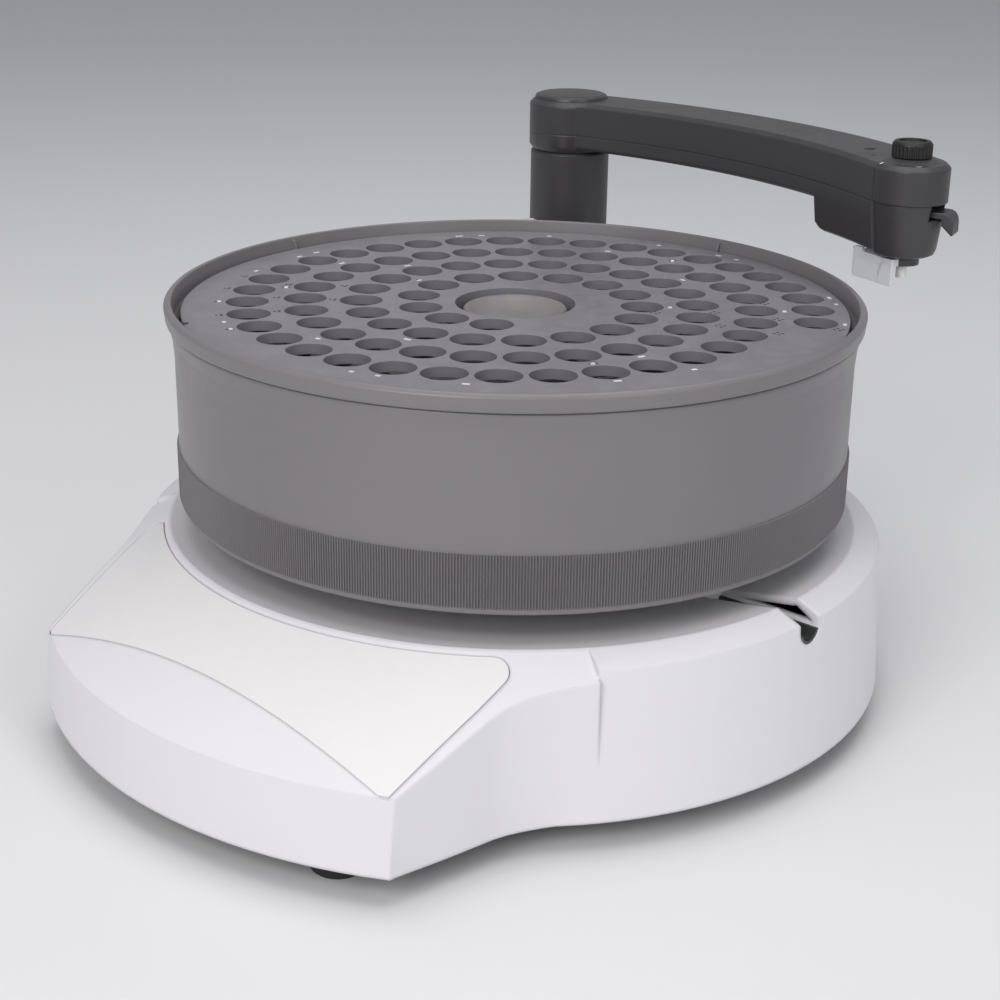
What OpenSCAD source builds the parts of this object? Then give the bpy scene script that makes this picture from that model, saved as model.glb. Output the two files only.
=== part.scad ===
// Bench fraction collector: a fixed base with a control console and a rear tower, a spinning bowl
// with a lift-out rack for 95 tubes, and a swinging dispensing arm that carries a drop sensor.
// Origin: the bowl's axis at table height. Z is up, the console is at -Y.
// All lengths are millimetres, all angles are degrees.

/* [What to draw] */
// Piece to draw: "all" or the name of one piece

/* [Base] */
// Radius of the round part of the base at its bottom edge
drum_radius = 161.5; // [150:0.5:190]
// Radius of the round part at the shoulder's outer edge
shoulder_radius = 157.7; // [148:0.1:188]
// Radius where the shoulder meets the dish under the bowl
dish_radius = 147; // [143:0.5:175]
// Height of the shoulder's outer edge above the table
shoulder_z = 71.5; // [62:0.5:90]
// Height of the shoulder's inner edge above the table
dish_edge_z = 76.7; // [66:0.1:84]
// Height of the dish's flat floor above the table
dish_floor_z = 71; // [62:0.5:76]
// Height of the base's bottom edge above the table
ground_gap = 12; // [8:0.5:20]
// Thickness of the base's shell
wall = 3; // [2:0.1:4]
// Radius of the console's curved front at its bottom edge
console_radius = 202.3; // [190:0.1:240]
// Fall of the console's top for each millimetre outwards
console_slope = 0.636; // [0.3:0.005:0.8]

/* [Drain slot] */
// Width of the drain slot through the shoulder
slot_width = 12.5; // [8:0.1:16]
// Height of the slot's round floor above the table
slot_floor_z = 63; // [58:0.1:68]
// Distance of the slot's middle line in front of the bowl axis
slot_y = -6.5; // [-12:0.5:12]

/* [Bowl] */
// Outer radius of the bowl's rim
bowl_rim_radius = 145; // [135:0.1:146.5]
// Distance that the rim stands out from the bowl's wall
rim_flare = 3.6; // [2.6:0.1:6]
// Distance that the drive flutes stand out from the bowl's wall
flute_depth = 0.8; // [0.4:0.1:1.2]
// Height of the bowl's rim above the table
bowl_top_z = 172; // [150:0.5:200]
// Height of the bowl's bottom edge above the table
bowl_bottom_z = 87.4; // [84:0.1:94]
// Thickness of the bowl's wall
bowl_wall = 2.4; // [1.8:0.1:3.5]
// Number of drive flutes around the bowl
flute_count = 240; // [60:4:400]
// Lower end of the drive flutes above the table
flute_low_z = 90; // [88:0.5:98]
// Upper end of the drive flutes above the table
flute_high_z = 111; // [104:0.5:120]

/* [Tube rack] */
// Diameter of a tube hole
tube_hole = 18; // [10:0.1:18.6]
// Number of tube holes along the spiral
tube_count = 95; // [20:1:95]
// Distance of the outermost tube hole's centre from the guide's edge
hole_margin = 13.7; // [12:0.1:18]
// Distance from one tube hole's centre to the next
tube_pitch = 20; // [19:0.05:22]
// Distance between two turns of the spiral
turn_pitch = 23.85; // [21:0.05:24]
// Direction of the first tube hole, anticlockwise from +X
spiral_start_angle = 29.5; // [0:0.5:360]
// Play between the tube guide's edge and the bowl's wall
guide_play = 0.8; // [0.3:0.1:2]
// Height of the guide's top above the table
guide_top_z = 167; // [150:0.5:170]
// Thickness of the guide plate
guide_thick = 2; // [1.5:0.1:3]
// Radius of the guide's middle opening
guide_opening = 25.2; // [24:0.1:25.6]

/* [Arm] */
// Radius of the column
column_r = 19.6; // [14:0.1:22]
// Distance of the column's axis inside the base's outermost radius
column_inset = 22.3; // [21.9:0.1:26]
// Direction of the column, anticlockwise from +X
column_azimuth = 122.7; // [118:0.1:128]
// Height of the column's top above the table
column_top_z = 201.5; // [190:0.5:215]
// Distance of the dispensing head from the bowl axis, arm parked
head_distance = 162.5; // [158:0.1:172]
// Direction of the dispensing head, arm parked
head_azimuth = 44.9; // [42:0.1:48]
// Outward bow of the arm between the column and the head
arm_bow = 21; // [12:0.5:30]
// Width of the arm
arm_width = 33.4; // [28:0.1:38]
// Radius of the arm's hub over the column
hub_r = 20.5; // [18:0.1:23]
// Radius of the arm's round end
head_r = 16.4; // [15:0.1:19]
// Height of the arm's underside above the table
arm_under_z = 203.8; // [203:0.1:207]
// Height of the seam between the arm's shells above the table
arm_seam_z = 210.8; // [208:0.1:216]
// Height of the arm's flat top above the table
arm_top_z = 226.6; // [220:0.1:234]
// Height of the head's bottom above the table
head_under_z = 188; // [184:0.5:192]
// Radius of the holder knob
knob_r = 8.3; // [6:0.05:9.5]
// Height of the holder knob
knob_height = 6.4; // [4:0.1:10]
// Length of the deep part of the head along the arm
head_length = 48.4; // [40:0.1:60]
// Swing of the sensor lever
sensor_swing = 15; // [5:1:15]
// Largest inward swing of the arm
arm_swing = 47; // [30:1:47]

/* [Drives] */
// Radius of the drive sleeve that turns the bowl
sleeve_r = 12; // [9:0.1:12]
// Distance of the drive sleeve's rim from the flutes
sleeve_gap = 0.3; // [0.1:0.05:0.6]
// Radius of the bowl's spindle
spindle_r = 6; // [4:0.1:7]
// Radius of the arm's shaft
shaft_r = 7; // [5:0.1:7.5]
// Play between a turning pin and its bore, on the radius
running_gap = 0.05; // [0.02:0.01:0.1]

/* [Hidden] */
$fn = 96;
column_distance = console_radius - column_inset;
bowl_wall_radius = bowl_rim_radius - rim_flare;
flute_radius = bowl_wall_radius + flute_depth;
guide_radius = bowl_wall_radius - bowl_wall - guide_play;
spiral_start_radius = guide_radius - hole_margin;
column_x = column_distance * cos(column_azimuth);
column_y = column_distance * sin(column_azimuth);
head_x = head_distance * cos(head_azimuth);
head_y = head_distance * sin(head_azimuth);
chord = norm([head_x - column_x, head_y - column_y]);
arm_arc_r = (chord * chord / 4 + arm_bow * arm_bow) / (2 * arm_bow);
arm_nx = -(head_y - column_y) / chord;
arm_ny = (head_x - column_x) / chord;
arc_x = (head_x + column_x) / 2 + arm_nx * (arm_bow - arm_arc_r);
arc_y = (head_y + column_y) / 2 + arm_ny * (arm_bow - arm_arc_r);
arc_from = atan2(head_y - arc_y, head_x - arc_x);
arc_to = atan2(column_y - arc_y, column_x - arc_x);
head_arc = head_length / arm_arc_r * 180 / PI;
half_arm = arm_width / 2;
shell = 2.4;
plate_z = ground_gap + wall;
sleeve_az = 97;
sleeve_d = flute_radius + sleeve_gap + sleeve_r;
sleeve_x = sleeve_d * cos(sleeve_az);
sleeve_y = sleeve_d * sin(sleeve_az);
sleeve_low_z = flute_low_z - 2;
sleeve_high_z = flute_high_z + 2;
lever_x = 25;
lever_y = shoulder_radius - 16.7;
lever_z = 60;
gear_pitch_r = 30;
pinion_pitch_r = 6;
gear_centres = gear_pitch_r + pinion_pitch_r + 0.3;
gear_z = 40;
pinion_x = column_x + gear_centres * cos(column_azimuth + 180);
pinion_y = column_y + gear_centres * sin(column_azimuth + 180);
flat_z = 91;
seat_z = 82;
seat_r = 40;
hub_cap_r = 21.8;
slot_r = slot_width / 2;
slot_axis_z = slot_floor_z + slot_r;
// Plan of the console's side, ending in a curve that runs into the drum.
side = concat([[100.2, -174], [104.3, -155], [107.4, -138]],
    [for (t = [0:0.2:1.01]) (1 - t) * (1 - t) * [108.4, -132] + 2 * t * (1 - t) * [111.1, -118.7] + t * t * [127.9, -96.4]]);
side_last = len(side) - 1;
tower_r = column_distance - column_r - 2.4;
rear_from = 80;
rear_to = 143;
foot_places = [[66, -168], [-66, -168], [100, 100], [-100, 100]];
screw_places = [[84, -158], [-84, -158], [128, -52], [-128, -52], [70, 119], [-133, 42]];
lever_az = 15.5;
lever_half = 5.5;
bevel = 1.9;
post_angles = [0, 120, 240];
post_r = 130.6;

white = [0.87, 0.87, 0.88];
dark = [0.16, 0.155, 0.17];
grey = [0.46, 0.44, 0.46];
steel = [0.7, 0.71, 0.73];

// Radius and direction of each tube hole along the spiral.
hole_limit = guide_opening + tube_hole / 2 + 2;
tube_r = [for (i = 0, r = spiral_start_radius; i < tube_count && r > hole_limit; i = i + 1, r = r - turn_pitch * tube_pitch / (2 * PI * r)) r];
tube_last = len(tube_r) - 1;
tube_a = [for (i = 0, a = spiral_start_angle; i <= tube_last; i = i + 1, a = a + (i <= tube_last ? 2 * asin(tube_pitch / (tube_r[i - 1] + tube_r[i])) : 0)) a];

module tube_places() {
    for (n = [0:tube_last])
        rotate(tube_a[n]) translate([tube_r[n], 0]) children();
}

// Plan of the console's wedge, drawn in by cut at its sides.
module console_plan(cut) {
    polygon(concat([[-side[0][0] + cut, -240], [side[0][0] - cut, -240]],
        [for (i = [0:side_last]) [side[i][0] - cut, side[i][1]]],
        [[60, -60], [-60, -60]],
        [for (i = [side_last:-1:0]) [-side[i][0] + cut, side[i][1]]]));
}

// Plan of the rear block: two sides that point at the bowl's axis and rounded corners.
module rear_plan(cut) {
    corner = 14;
    lean = asin(corner / (console_radius - corner));
    function centre(side_az, s) = (console_radius - corner + 0.4) * [cos(side_az + s * lean), sin(side_az + s * lean)];
    function arc(side_az, s) = [for (k = [0:6]) let (a = side_az - s * 90 + s * k * (88 + lean) / 6) centre(side_az, s) + (corner - cut) * [cos(a), sin(a)]];
    first = arc(rear_from, 1);
    last = arc(rear_to, -1);
    polygon(concat([first[0] - 125 * [cos(rear_from), sin(rear_from)]], first,
        [for (a = [rear_from + lean + 2:4:rear_to - lean - 2]) (console_radius + 12) * [cos(a), sin(a)]],
        [for (k = [6:-1:0]) last[k]], [last[0] - 125 * [cos(rear_to), sin(rear_to)]]));
}

module sector(from, to, r) {
    polygon(concat([[0, 0]], [for (a = [from:(to - from) / 6:to + 0.01]) [r * cos(a), r * sin(a)]]));
}

// Round outer body of the base, drawn in by cut and open at the bottom.
module drum_body(cut) {
    low = ground_gap - (cut > 0 ? 1 : 0);
    rotate_extrude() polygon([[0, low], [drum_radius - cut, low],
        [drum_radius - cut, ground_gap], [shoulder_radius - cut, shoulder_z - cut + 0.6],
        [shoulder_radius - cut - 0.8, shoulder_z - cut + 1.2], [dish_radius, dish_edge_z - cut],
        [dish_radius - 2, dish_edge_z - 0.6 - cut], [119, dish_floor_z + 0.6 - cut],
        [115, dish_floor_z - cut], [0, dish_floor_z - cut]]);
}

module console_body(cut) {
    low = ground_gap - (cut > 0 ? 1 : 0);
    front = console_radius - cut;
    edge = dish_edge_z - console_slope * (console_radius - 2.3 - dish_radius);
    intersection() {
        rotate_extrude() polygon([[60, low], [front, low], [front, ground_gap],
            [front - 2.3, edge - cut], [dish_radius + 8, panel_z(dish_radius + 8) - cut],
            [dish_radius + 3, panel_z(dish_radius + 8) - 3 - cut], [60, 60]]);
        translate([0, 0, low - 1]) linear_extrude(dish_edge_z) console_plan(cut);
    }
}

module rear_body(cut) {
    low = ground_gap - (cut > 0 ? 1 : 0);
    intersection() {
        rotate_extrude() polygon([[60, low], [console_radius - cut, low],
            [console_radius - cut, 61 - cut], [console_radius - cut - 1.2, 63.6 - cut], [console_radius - cut - 4, 65.2 - cut],
            [dish_radius + 4, 74 - cut], [60, 60]]);
        translate([0, 0, low - 1]) linear_extrude(dish_edge_z) rear_plan(cut);
    }
}

// Tower that carries the column, with flanks that run down along the rim of the bowl.
module tower_body() {
    intersection() {
        rotate_extrude() polygon([[tower_r, 71.2], [console_radius - 4.8, 64.6], [console_radius - 0.3, 61.2], [console_radius - 0.3, 156.7],
            [console_radius - 5, 161.2], [tower_r + 12, 167.2], [tower_r + 5, 166.3], [tower_r + 1.5, 162.6], [tower_r, 154.7]]);
        rotate([0, 0, column_azimuth]) rotate([90, 0, 90])
            linear_extrude(230) polygon([[-60, 40], [-52, 70], [-44, 100], [-34, 132], [-26, 150],
                [-19, 158.5], [-11, 164], [0, 167.5], [14, 168], [20, 166.2], [25, 162.5],
                [31, 156], [38, 144], [44, 126], [49, 100], [52, 70], [54, 40]]);
    }
}

module pillar(place, top) translate([place[0], place[1], plate_z]) cylinder(r = 4.5, h = top - plate_z);

module base_housing() color(white) difference() {
    union() {
        difference() {
            union() { drum_body(0); console_body(0); rear_body(0); }
            drum_body(wall); console_body(wall); rear_body(wall);
        }
        tower_body();
        for (i = [0:5]) pillar(screw_places[i], i < 2 ? 54.5 : 73);
        intersection() {
            translate([108, slot_y - slot_r - 3, slot_floor_z - 3]) cube([60, slot_width + 6, 9]);
            drum_body(1);
        }
        translate([0, 0, dish_floor_z - wall + 0.6]) cylinder(r = 19, h = 5.4);
        intersection() {
            rotate([0, 0, 106]) translate([187, -38, plate_z + 0.2]) cube([20, 76, 48]);
            rear_body(1);
        }
    }
    translate([0, 0, 20]) cylinder(r = 13, h = 80);
    for (p = screw_places) translate([p[0], p[1], 10]) cylinder(r = 1.7, h = 18);
    slot_cut();
    console_trim();
    translate([column_x, column_y, 84]) cylinder(r = column_r, h = 100);
    translate([column_x, column_y, 60]) cylinder(r = shaft_r + 2.5, h = 30);
    rotate([0, 0, sleeve_az]) translate([sleeve_d - 5.5, -5.5, 60]) cube([18, 11, 30]);
    rotate([0, 0, 106]) translate([195, -32, 19]) cube([20, 64, 41]);
    rotate([0, 0, 106]) translate([180, 0, 0]) { inlet_hole(0.1); socket_holes(0.1); switch_hole(0.1); }
    panel_pocket(0.4, 1.5);
}

// Takes the shoulder down to the console's slope above the console.
module console_trim() intersection() {
    rotate_extrude() polygon([[dish_radius + 1, panel_z(dish_radius + 1)], [dish_radius + 30, panel_z(dish_radius + 30)],
        [dish_radius + 30, dish_edge_z + 9], [dish_radius + 1, dish_edge_z + 9]]);
    translate([0, 0, 30]) linear_extrude(80) console_plan(0);
}

// Slot that runs out through the shoulder: a round floor and straight sides.
module slot_cut() translate([112, slot_y, slot_axis_z]) rotate([90, 0, 90]) linear_extrude(60) {
    circle(r = slot_r);
    translate([-slot_r, 0]) square([slot_width, 20]);
}

module inlet_hole(gap) translate([0, 0 - gap, 24 - gap]) cube([40, 28 + 2 * gap, 22 + 2 * gap]);
module socket_holes(gap) for (t = [-24, -9]) translate([0, t, 33]) rotate([0, 90, 0]) cylinder(r = 6 + gap, h = 40);
module switch_hole(gap) translate([0, -23 - gap, 45 - gap]) cube([40, 13 + 2 * gap, 9 + 2 * gap]);

// Shallow field of the console's top that holds the front panel.
module panel_pocket(gap, deep) {
    intersection() {
        rotate_extrude() polygon([[149.7 - gap, panel_z(149.7 - gap) - deep], [console_radius - 3 + gap, panel_z(console_radius - 3 + gap) - deep],
            [console_radius - 3 + gap, panel_z(console_radius - 3 + gap) + 4], [149.7 - gap, panel_z(149.7 - gap) + 4]]);
        translate([0, 0, 30]) linear_extrude(60) panel_plan(gap);
    }
}
function panel_z(r) = dish_edge_z - console_slope * (r - dish_radius);
// Right edge of the panel, from the front to the rounded corner at the back.
panel_side = concat([[97.6, -175.5], [100.2, -152], [102.3, -133.5]],
    [for (a = [0:13:130]) [97.9 + 5.2 * cos(a), -120.2 + 5.2 * sin(a)]], [[88, -108]]);
module panel_plan(gap) {
    last = len(panel_side) - 1;
    function out(i) = i > 2 && i < last ? gap * [cos((i - 3) * 13), sin((i - 3) * 13)] : [gap, 0];
    right = [for (i = [0:last]) panel_side[i] + out(i)];
    polygon(concat(right, [for (i = [last:-1:0]) [-right[i][0], right[i][1]]]));
}

module front_panel() color([0.88, 0.88, 0.885]) intersection() {
    panel_pocket(0, 1.5);
    rotate_extrude() polygon([[60, 30], [console_radius - 3, 30], [console_radius - 3, panel_z(console_radius - 3)], [dish_radius, dish_edge_z], [60, dish_edge_z]]);
}

module base_plan(cut) {
    circle(r = drum_radius - cut);
    intersection() { circle(r = console_radius - cut); console_plan(cut); }
    intersection() { circle(r = console_radius - cut); rear_plan(cut); }
}

module base_plate() color([0.12, 0.12, 0.13]) difference() {
    union() {
        translate([0, 0, ground_gap]) linear_extrude(wall - 0.2) base_plan(wall + 0.3);
        translate([column_x, column_y, plate_z - 1]) cylinder(r = shaft_r + 3, h = 10);
        translate([lever_x, lever_y, plate_z - 1]) cylinder(r = 8, h = 14);
        for (x = [-42, 42], y = [-150, -104]) translate([x, y, plate_z - 1]) cylinder(r = 3.5, h = 8);
        for (a = [-90, 90]) translate([pinion_x, pinion_y, plate_z - 1]) rotate([0, 0, column_azimuth + a]) translate([22, 0, 0]) cylinder(r = 3.5, h = 21);
        translate([lever_x + 9.6, lever_y - 14, plate_z - 1]) cylinder(r = 2.5, h = 40);
    }
    translate([column_x, column_y, plate_z]) cylinder(r = shaft_r + running_gap, h = 12);
    translate([lever_x, lever_y, plate_z]) cylinder(r = 4, h = 20);
    for (p = screw_places) translate([p[0], p[1], 10]) cylinder(r = 2, h = 8);
    for (p = foot_places) translate([p[0], p[1], 10]) cylinder(r = 4, h = 8);
}

module feet() color([0.1, 0.1, 0.1]) for (p = foot_places) translate([p[0], p[1], 0]) {
    rotate_extrude() polygon([[0, 0], [9.5, 0], [10.5, 1], [12, ground_gap], [3.9, ground_gap], [3.9, ground_gap + wall - 0.4], [4.6, ground_gap + wall], [3.4, ground_gap + wall + 1.6], [0, ground_gap + wall + 1.6]]);
}

module base_screws() color(steel) for (p = screw_places) translate([p[0], p[1], 0]) {
    difference() {
        translate([0, 0, ground_gap - 2.2]) cylinder(r = 3.4, h = 2.2);
        translate([0, 0, ground_gap - 3]) cylinder(r = 1.6, h = 2, $fn = 6);
    }
    translate([0, 0, ground_gap - 0.5]) cylinder(r = 1.7, h = 14);
}

module bearing_housing() color(steel) difference() {
    union() {
        translate([0, 0, 38]) cylinder(r = 18, h = dish_floor_z - wall - 38);
        translate([0, 0, dish_floor_z - wall - 4]) cylinder(r = 32, h = 4);
    }
    translate([0, 0, 30]) cylinder(r = 12, h = 60);
    translate([0, 0, 40]) cylinder(r = 14, h = 8);
    translate([0, 0, 37]) cylinder(r = 14, h = 4);
    translate([0, 0, dish_floor_z - wall - 8]) cylinder(r = 14, h = 20);
    for (a = [45:90:315]) rotate([0, 0, a]) translate([26, 0, 50]) cylinder(r = 1.8, h = 30);
}

module bearing(z) translate([0, 0, z]) rotate_extrude() polygon([[spindle_r + running_gap, 0.4], [spindle_r + running_gap + 0.4, 0],
    [9, 0], [9, 0.8], [11, 0.8], [11, 0], [13.6, 0], [14, 0.4], [14, 7.6], [13.6, 8], [11, 8], [11, 7.2], [9, 7.2],
    [9, 8], [spindle_r + running_gap + 0.4, 8], [spindle_r + running_gap, 7.6]]);

module spindle_bearings() color([0.8, 0.81, 0.83]) { bearing(40); bearing(dish_floor_z - wall - 8); }

module drain_liner() color([0.08, 0.08, 0.09]) translate([112.2, slot_y, slot_axis_z]) rotate([90, 0, 90]) linear_extrude(45.4) intersection() {
    difference() {
        circle(r = slot_r - 0.02);
        circle(r = slot_r - 1.2);
    }
    translate([-10, -10]) square([20, 8.4]);
}

module column() color(dark) translate([column_x, column_y, 0]) difference() {
    union() {
        translate([0, 0, 84]) cylinder(r = column_r, h = column_top_z - 84 - 1);
        translate([0, 0, column_top_z - 1]) cylinder(r1 = column_r, r2 = column_r - 1, h = 1);
    }
    translate([0, 0, 80]) cylinder(r = shaft_r + 1.5, h = 140);
    translate([0, 0, 83]) cylinder(r = shaft_r + 3, h = 15);
    translate([0, 0, column_top_z - 15]) cylinder(r = shaft_r + 3, h = 20);
}

module bush(z, h) color([0.72, 0.55, 0.3]) translate([column_x, column_y, z]) difference() {
    cylinder(r = shaft_r + 3, h = h);
    translate([0, 0, -1]) cylinder(r = shaft_r + running_gap, h = h + 2);
}
module column_bush_lower() bush(84, 14);
module column_bush_upper() bush(column_top_z - 15, 14.6);

module arm_motor() color([0.3, 0.3, 0.32]) translate([pinion_x, pinion_y, 0]) {
    translate([0, 0, plate_z]) cylinder(r = 17.5, h = 19);
    translate([0, 0, 34]) cylinder(r = 5, h = 2.6);
}

module arm_motor_bracket() color(steel) translate([pinion_x, pinion_y, 34]) rotate([0, 0, column_azimuth]) difference() {
    union() {
        translate([-8, -26, 1]) cube([16, 52, 1.6]);
        for (s = [-1, 1]) translate([0, s * 22, 1]) cylinder(r = 5, h = 1.6);
    }
    translate([0, 0, -5]) cylinder(r = 5, h = 20);
    for (s = [-1, 1]) translate([0, s * 22, -5]) cylinder(r = 1.5, h = 20);
}

module circuit_board() color([0.1, 0.3, 0.2]) {
    translate([-50, -158, plate_z + 7]) cube([100, 62, 1.6]);
    translate([-30, -140, plate_z + 8.4]) cube([24, 24, 3]);
    translate([10, -150, plate_z + 8.4]) cube([30, 12, 8]);
    translate([14, -122, plate_z + 8.4]) cube([12, 12, 5]);
    translate([34, -122, plate_z + 8.4]) cylinder(r = 5, h = 12);
    translate([-44, -110, plate_z + 8.4]) cube([60, 6, 6]);
}

module power_inlet() color([0.1, 0.1, 0.1]) rotate([0, 0, 106]) difference() {
    union() {
        translate([176, 0, 24]) cube([19, 28, 22]);
        translate([195, -1.5, 22.5]) cube([2, 31, 25]);
    }
    translate([182, 3, 27]) cube([20, 22, 16]);
    translate([177.5, 2, 26]) cube([3, 24, 18]);
}

module power_switch() color([0.08, 0.08, 0.08]) rotate([0, 0, 106]) {
    translate([184, -23, 45]) cube([11, 13, 9]);
    translate([195, -24.5, 43.5]) cube([1.6, 16, 12]);
    translate([196.4, -21.5, 45.5]) rotate([0, 12, 0]) cube([2, 10, 8]);
}

module signal_sockets() color([0.12, 0.12, 0.13]) rotate([0, 0, 106]) for (t = [-24, -9]) translate([186, t, 33]) rotate([0, 90, 0]) difference() {
    union() {
        cylinder(r = 6, h = 9.2);
        translate([0, 0, 9]) cylinder(r = 7, h = 2);
    }
    difference() {
        translate([0, 0, 4]) cylinder(r = 4.6, h = 10);
        translate([0, 0, 3]) cylinder(r = 1.2, h = 7);
    }
}

module lever_pin() color(steel) translate([lever_x, lever_y, plate_z]) {
    cylinder(r = 4, h = lever_z + 4.6 - plate_z);
    translate([0, 0, lever_z + 4.5 - plate_z]) cylinder(r = 5.6, h = 1.4);
}

module turntable() color([0.55, 0.55, 0.57]) difference() {
    union() {
        translate([0, 0, 37]) cylinder(r = spindle_r, h = seat_z - 9 - 37);
        translate([0, 0, dish_floor_z - wall + 0.2]) cylinder(r = spindle_r + 2, h = 7);
        translate([0, 0, dish_floor_z + 3.6]) cylinder(r = spindle_r + 4, h = 2.5);
        translate([0, 0, seat_z - 6]) cylinder(r = seat_r - 2, h = 5.8);
    }
    for (a = post_angles) rotate([0, 0, a + 30]) translate([28, 0, 70]) cylinder(r = 3, h = 20);
    translate([0, 0, seat_z - 3]) cylinder(r = 8, h = 6);
    translate([0, 0, seat_z - 8]) cylinder(r = 3, h = 6);
}

module drive_pins() color(steel) for (a = post_angles) rotate([0, 0, a + 30]) translate([28, 0, seat_z - 6]) {
    cylinder(r = 3, h = 11);
    translate([0, 0, 11]) cylinder(r1 = 3, r2 = 1.8, h = 1.4);
}

module turntable_screw() color(steel) difference() {
    union() {
        translate([0, 0, seat_z - 3]) cylinder(r = 5.5, h = 2.6);
        translate([0, 0, seat_z - 6]) cylinder(r = 3, h = 4);
    }
    translate([0, 0, seat_z - 2]) cylinder(r = 2.4, h = 4, $fn = 6);
}

module bowl() color(grey) {
    inner = bowl_wall_radius - bowl_wall;
    difference() {
        union() {
            rotate_extrude() polygon([[seat_r, seat_z], [seat_r, flat_z - 0.8], [bowl_wall_radius - 4, flat_z - 0.8], [bowl_wall_radius - 3.4, bowl_bottom_z],
                [bowl_wall_radius - 1, bowl_bottom_z], [bowl_wall_radius, bowl_bottom_z + 1.2], [bowl_wall_radius, bowl_top_z - 20],
                [bowl_wall_radius + 0.6, bowl_top_z - 14], [bowl_rim_radius - 1.9, bowl_top_z - 9], [bowl_rim_radius - 2, bowl_top_z - 8.2],
                [bowl_rim_radius - 2.4, bowl_top_z - 7.9], [bowl_rim_radius - 2.4, bowl_top_z - 7.4], [bowl_rim_radius - 1, bowl_top_z - 7.1],
                [bowl_rim_radius - 0.5, bowl_top_z - 6.4], [bowl_rim_radius, bowl_top_z - 1.6], [bowl_rim_radius - 0.4, bowl_top_z - 0.6], [bowl_rim_radius - 1.2, bowl_top_z - 0.1],
                [bowl_rim_radius - 2.6, bowl_top_z], [bowl_rim_radius - 3.2, bowl_top_z - 0.3], [bowl_rim_radius - 3.9, bowl_top_z - 7.5], [inner, bowl_top_z - 10],
                [inner, flat_z + 4], [inner - 1.5, flat_z + 2], [seat_r + 4, flat_z + 2], [seat_r, flat_z + 2], [22.6, flat_z + 2], [22.6, guide_top_z - 10], [21, guide_top_z - 8], [18, guide_top_z - 8],
                [18, seat_z + 4], [10, seat_z + 4], [10, seat_z]]);
            for (a = [88.5:90:360]) rotate([0, 0, a]) translate([bowl_wall_radius - bowl_wall - 0.2, 0.7, 0]) rotate([90, 0, 0])
                linear_extrude(1.4) polygon([[0.1, bowl_top_z - 14], [3, bowl_top_z - 14], [3, bowl_top_z - 1.6], [1.8, bowl_top_z - 1.6], [0.1, bowl_top_z - 7]]);
            translate([0, 0, flute_low_z]) linear_extrude(flute_high_z - flute_low_z) for (i = [0:flute_count - 1]) rotate(i * 360 / flute_count)
                polygon([[bowl_wall_radius - 0.4, -0.28 * PI * flute_radius / flute_count], [flute_radius, -0.14 * PI * flute_radius / flute_count * 2],
                    [flute_radius, 0.14 * PI * flute_radius / flute_count * 2], [bowl_wall_radius - 0.4, 0.28 * PI * flute_radius / flute_count * 1.6]]);
        }
        for (a = post_angles) rotate([0, 0, a + 30]) translate([28, 0, 70]) cylinder(r = 3.4, h = 20);
    }
}

module hub_cap() color([0.55, 0.54, 0.56]) rotate_extrude() polygon([[0, guide_top_z - 8.4], [hub_cap_r - 5, guide_top_z - 8.4], [hub_cap_r - 4.6, guide_top_z - 8], [hub_cap_r - 1.2, guide_top_z - 8],
    [hub_cap_r, guide_top_z - 6.8], [hub_cap_r, guide_top_z - 2.6], [hub_cap_r - 0.8, guide_top_z - 1.8], [hub_cap_r - 1.8, guide_top_z - 1.9],
    [hub_cap_r - 5, guide_top_z - 3.6], [hub_cap_r - 9, guide_top_z - 5], [9, guide_top_z - 5.8], [0, guide_top_z - 6]]);

// Plan of the guide plate, with notches in its edge.
module guide_plan(hole_r) difference() {
    circle(r = guide_radius);
    circle(r = guide_opening);
    tube_places() circle(r = hole_r);
    for (a = [238.5, 262.5, 335.5]) rotate(a) translate([guide_radius, 0]) circle(r = 2.2);
}

module tube_guide() color([0.5, 0.49, 0.52]) {
    translate([0, 0, guide_top_z - guide_thick]) linear_extrude(guide_thick) guide_plan(tube_hole / 2);
    translate([0, 0, guide_top_z - guide_thick - 2.3]) linear_extrude(2.5) difference() {
        tube_places() circle(r = tube_hole / 2 + 0.8);
        tube_places() circle(r = tube_hole / 2);
    }
    translate([0, 0, guide_top_z - guide_thick - 5]) linear_extrude(5.2) difference() {
        circle(r = guide_opening + 1.4);
        circle(r = guide_opening);
        tube_places() circle(r = tube_hole / 2);
    }
    translate([0, 0, guide_top_z - guide_thick - 5]) linear_extrude(5.2) difference() {
        circle(r = guide_radius);
        circle(r = guide_radius - 1.6);
        for (a = [238.5, 262.5, 335.5]) rotate(a) translate([guide_radius, 0]) circle(r = 2.2);
    }
}

module tube_holder() color([0.48, 0.47, 0.5]) translate([0, 0, 126]) linear_extrude(2) difference() {
    circle(r = guide_radius - 1);
    circle(r = guide_opening);
    tube_places() circle(r = tube_hole / 2);
}

module tube_support() color([0.42, 0.41, 0.44]) translate([0, 0, flat_z + 3]) {
    linear_extrude(2) difference() {
        circle(r = guide_radius - 1);
        circle(r = guide_opening);
    }
    linear_extrude(5) difference() {
        circle(r = guide_radius - 1);
        circle(r = guide_radius - 3);
    }
}

// The posts stand midway between two turns of the spiral.
post_a = [60, 180, 300];
module post_places() for (a = post_a) rotate([0, 0, spiral_start_angle + a])
    translate([spiral_start_radius - turn_pitch * (a / 360 + 0.5), 0, 0]) children();

module rack_posts() color(steel) post_places() {
    translate([0, 0, flat_z + 5]) cylinder(r = 1.8, h = 126 - flat_z - 5);
    translate([0, 0, 128]) cylinder(r = 1.8, h = guide_top_z - guide_thick - 128);
}

module rack_screws() color(steel) post_places() translate([0, 0, guide_top_z]) cylinder(r1 = 1.9, r2 = 1.4, h = 0.6);

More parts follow.
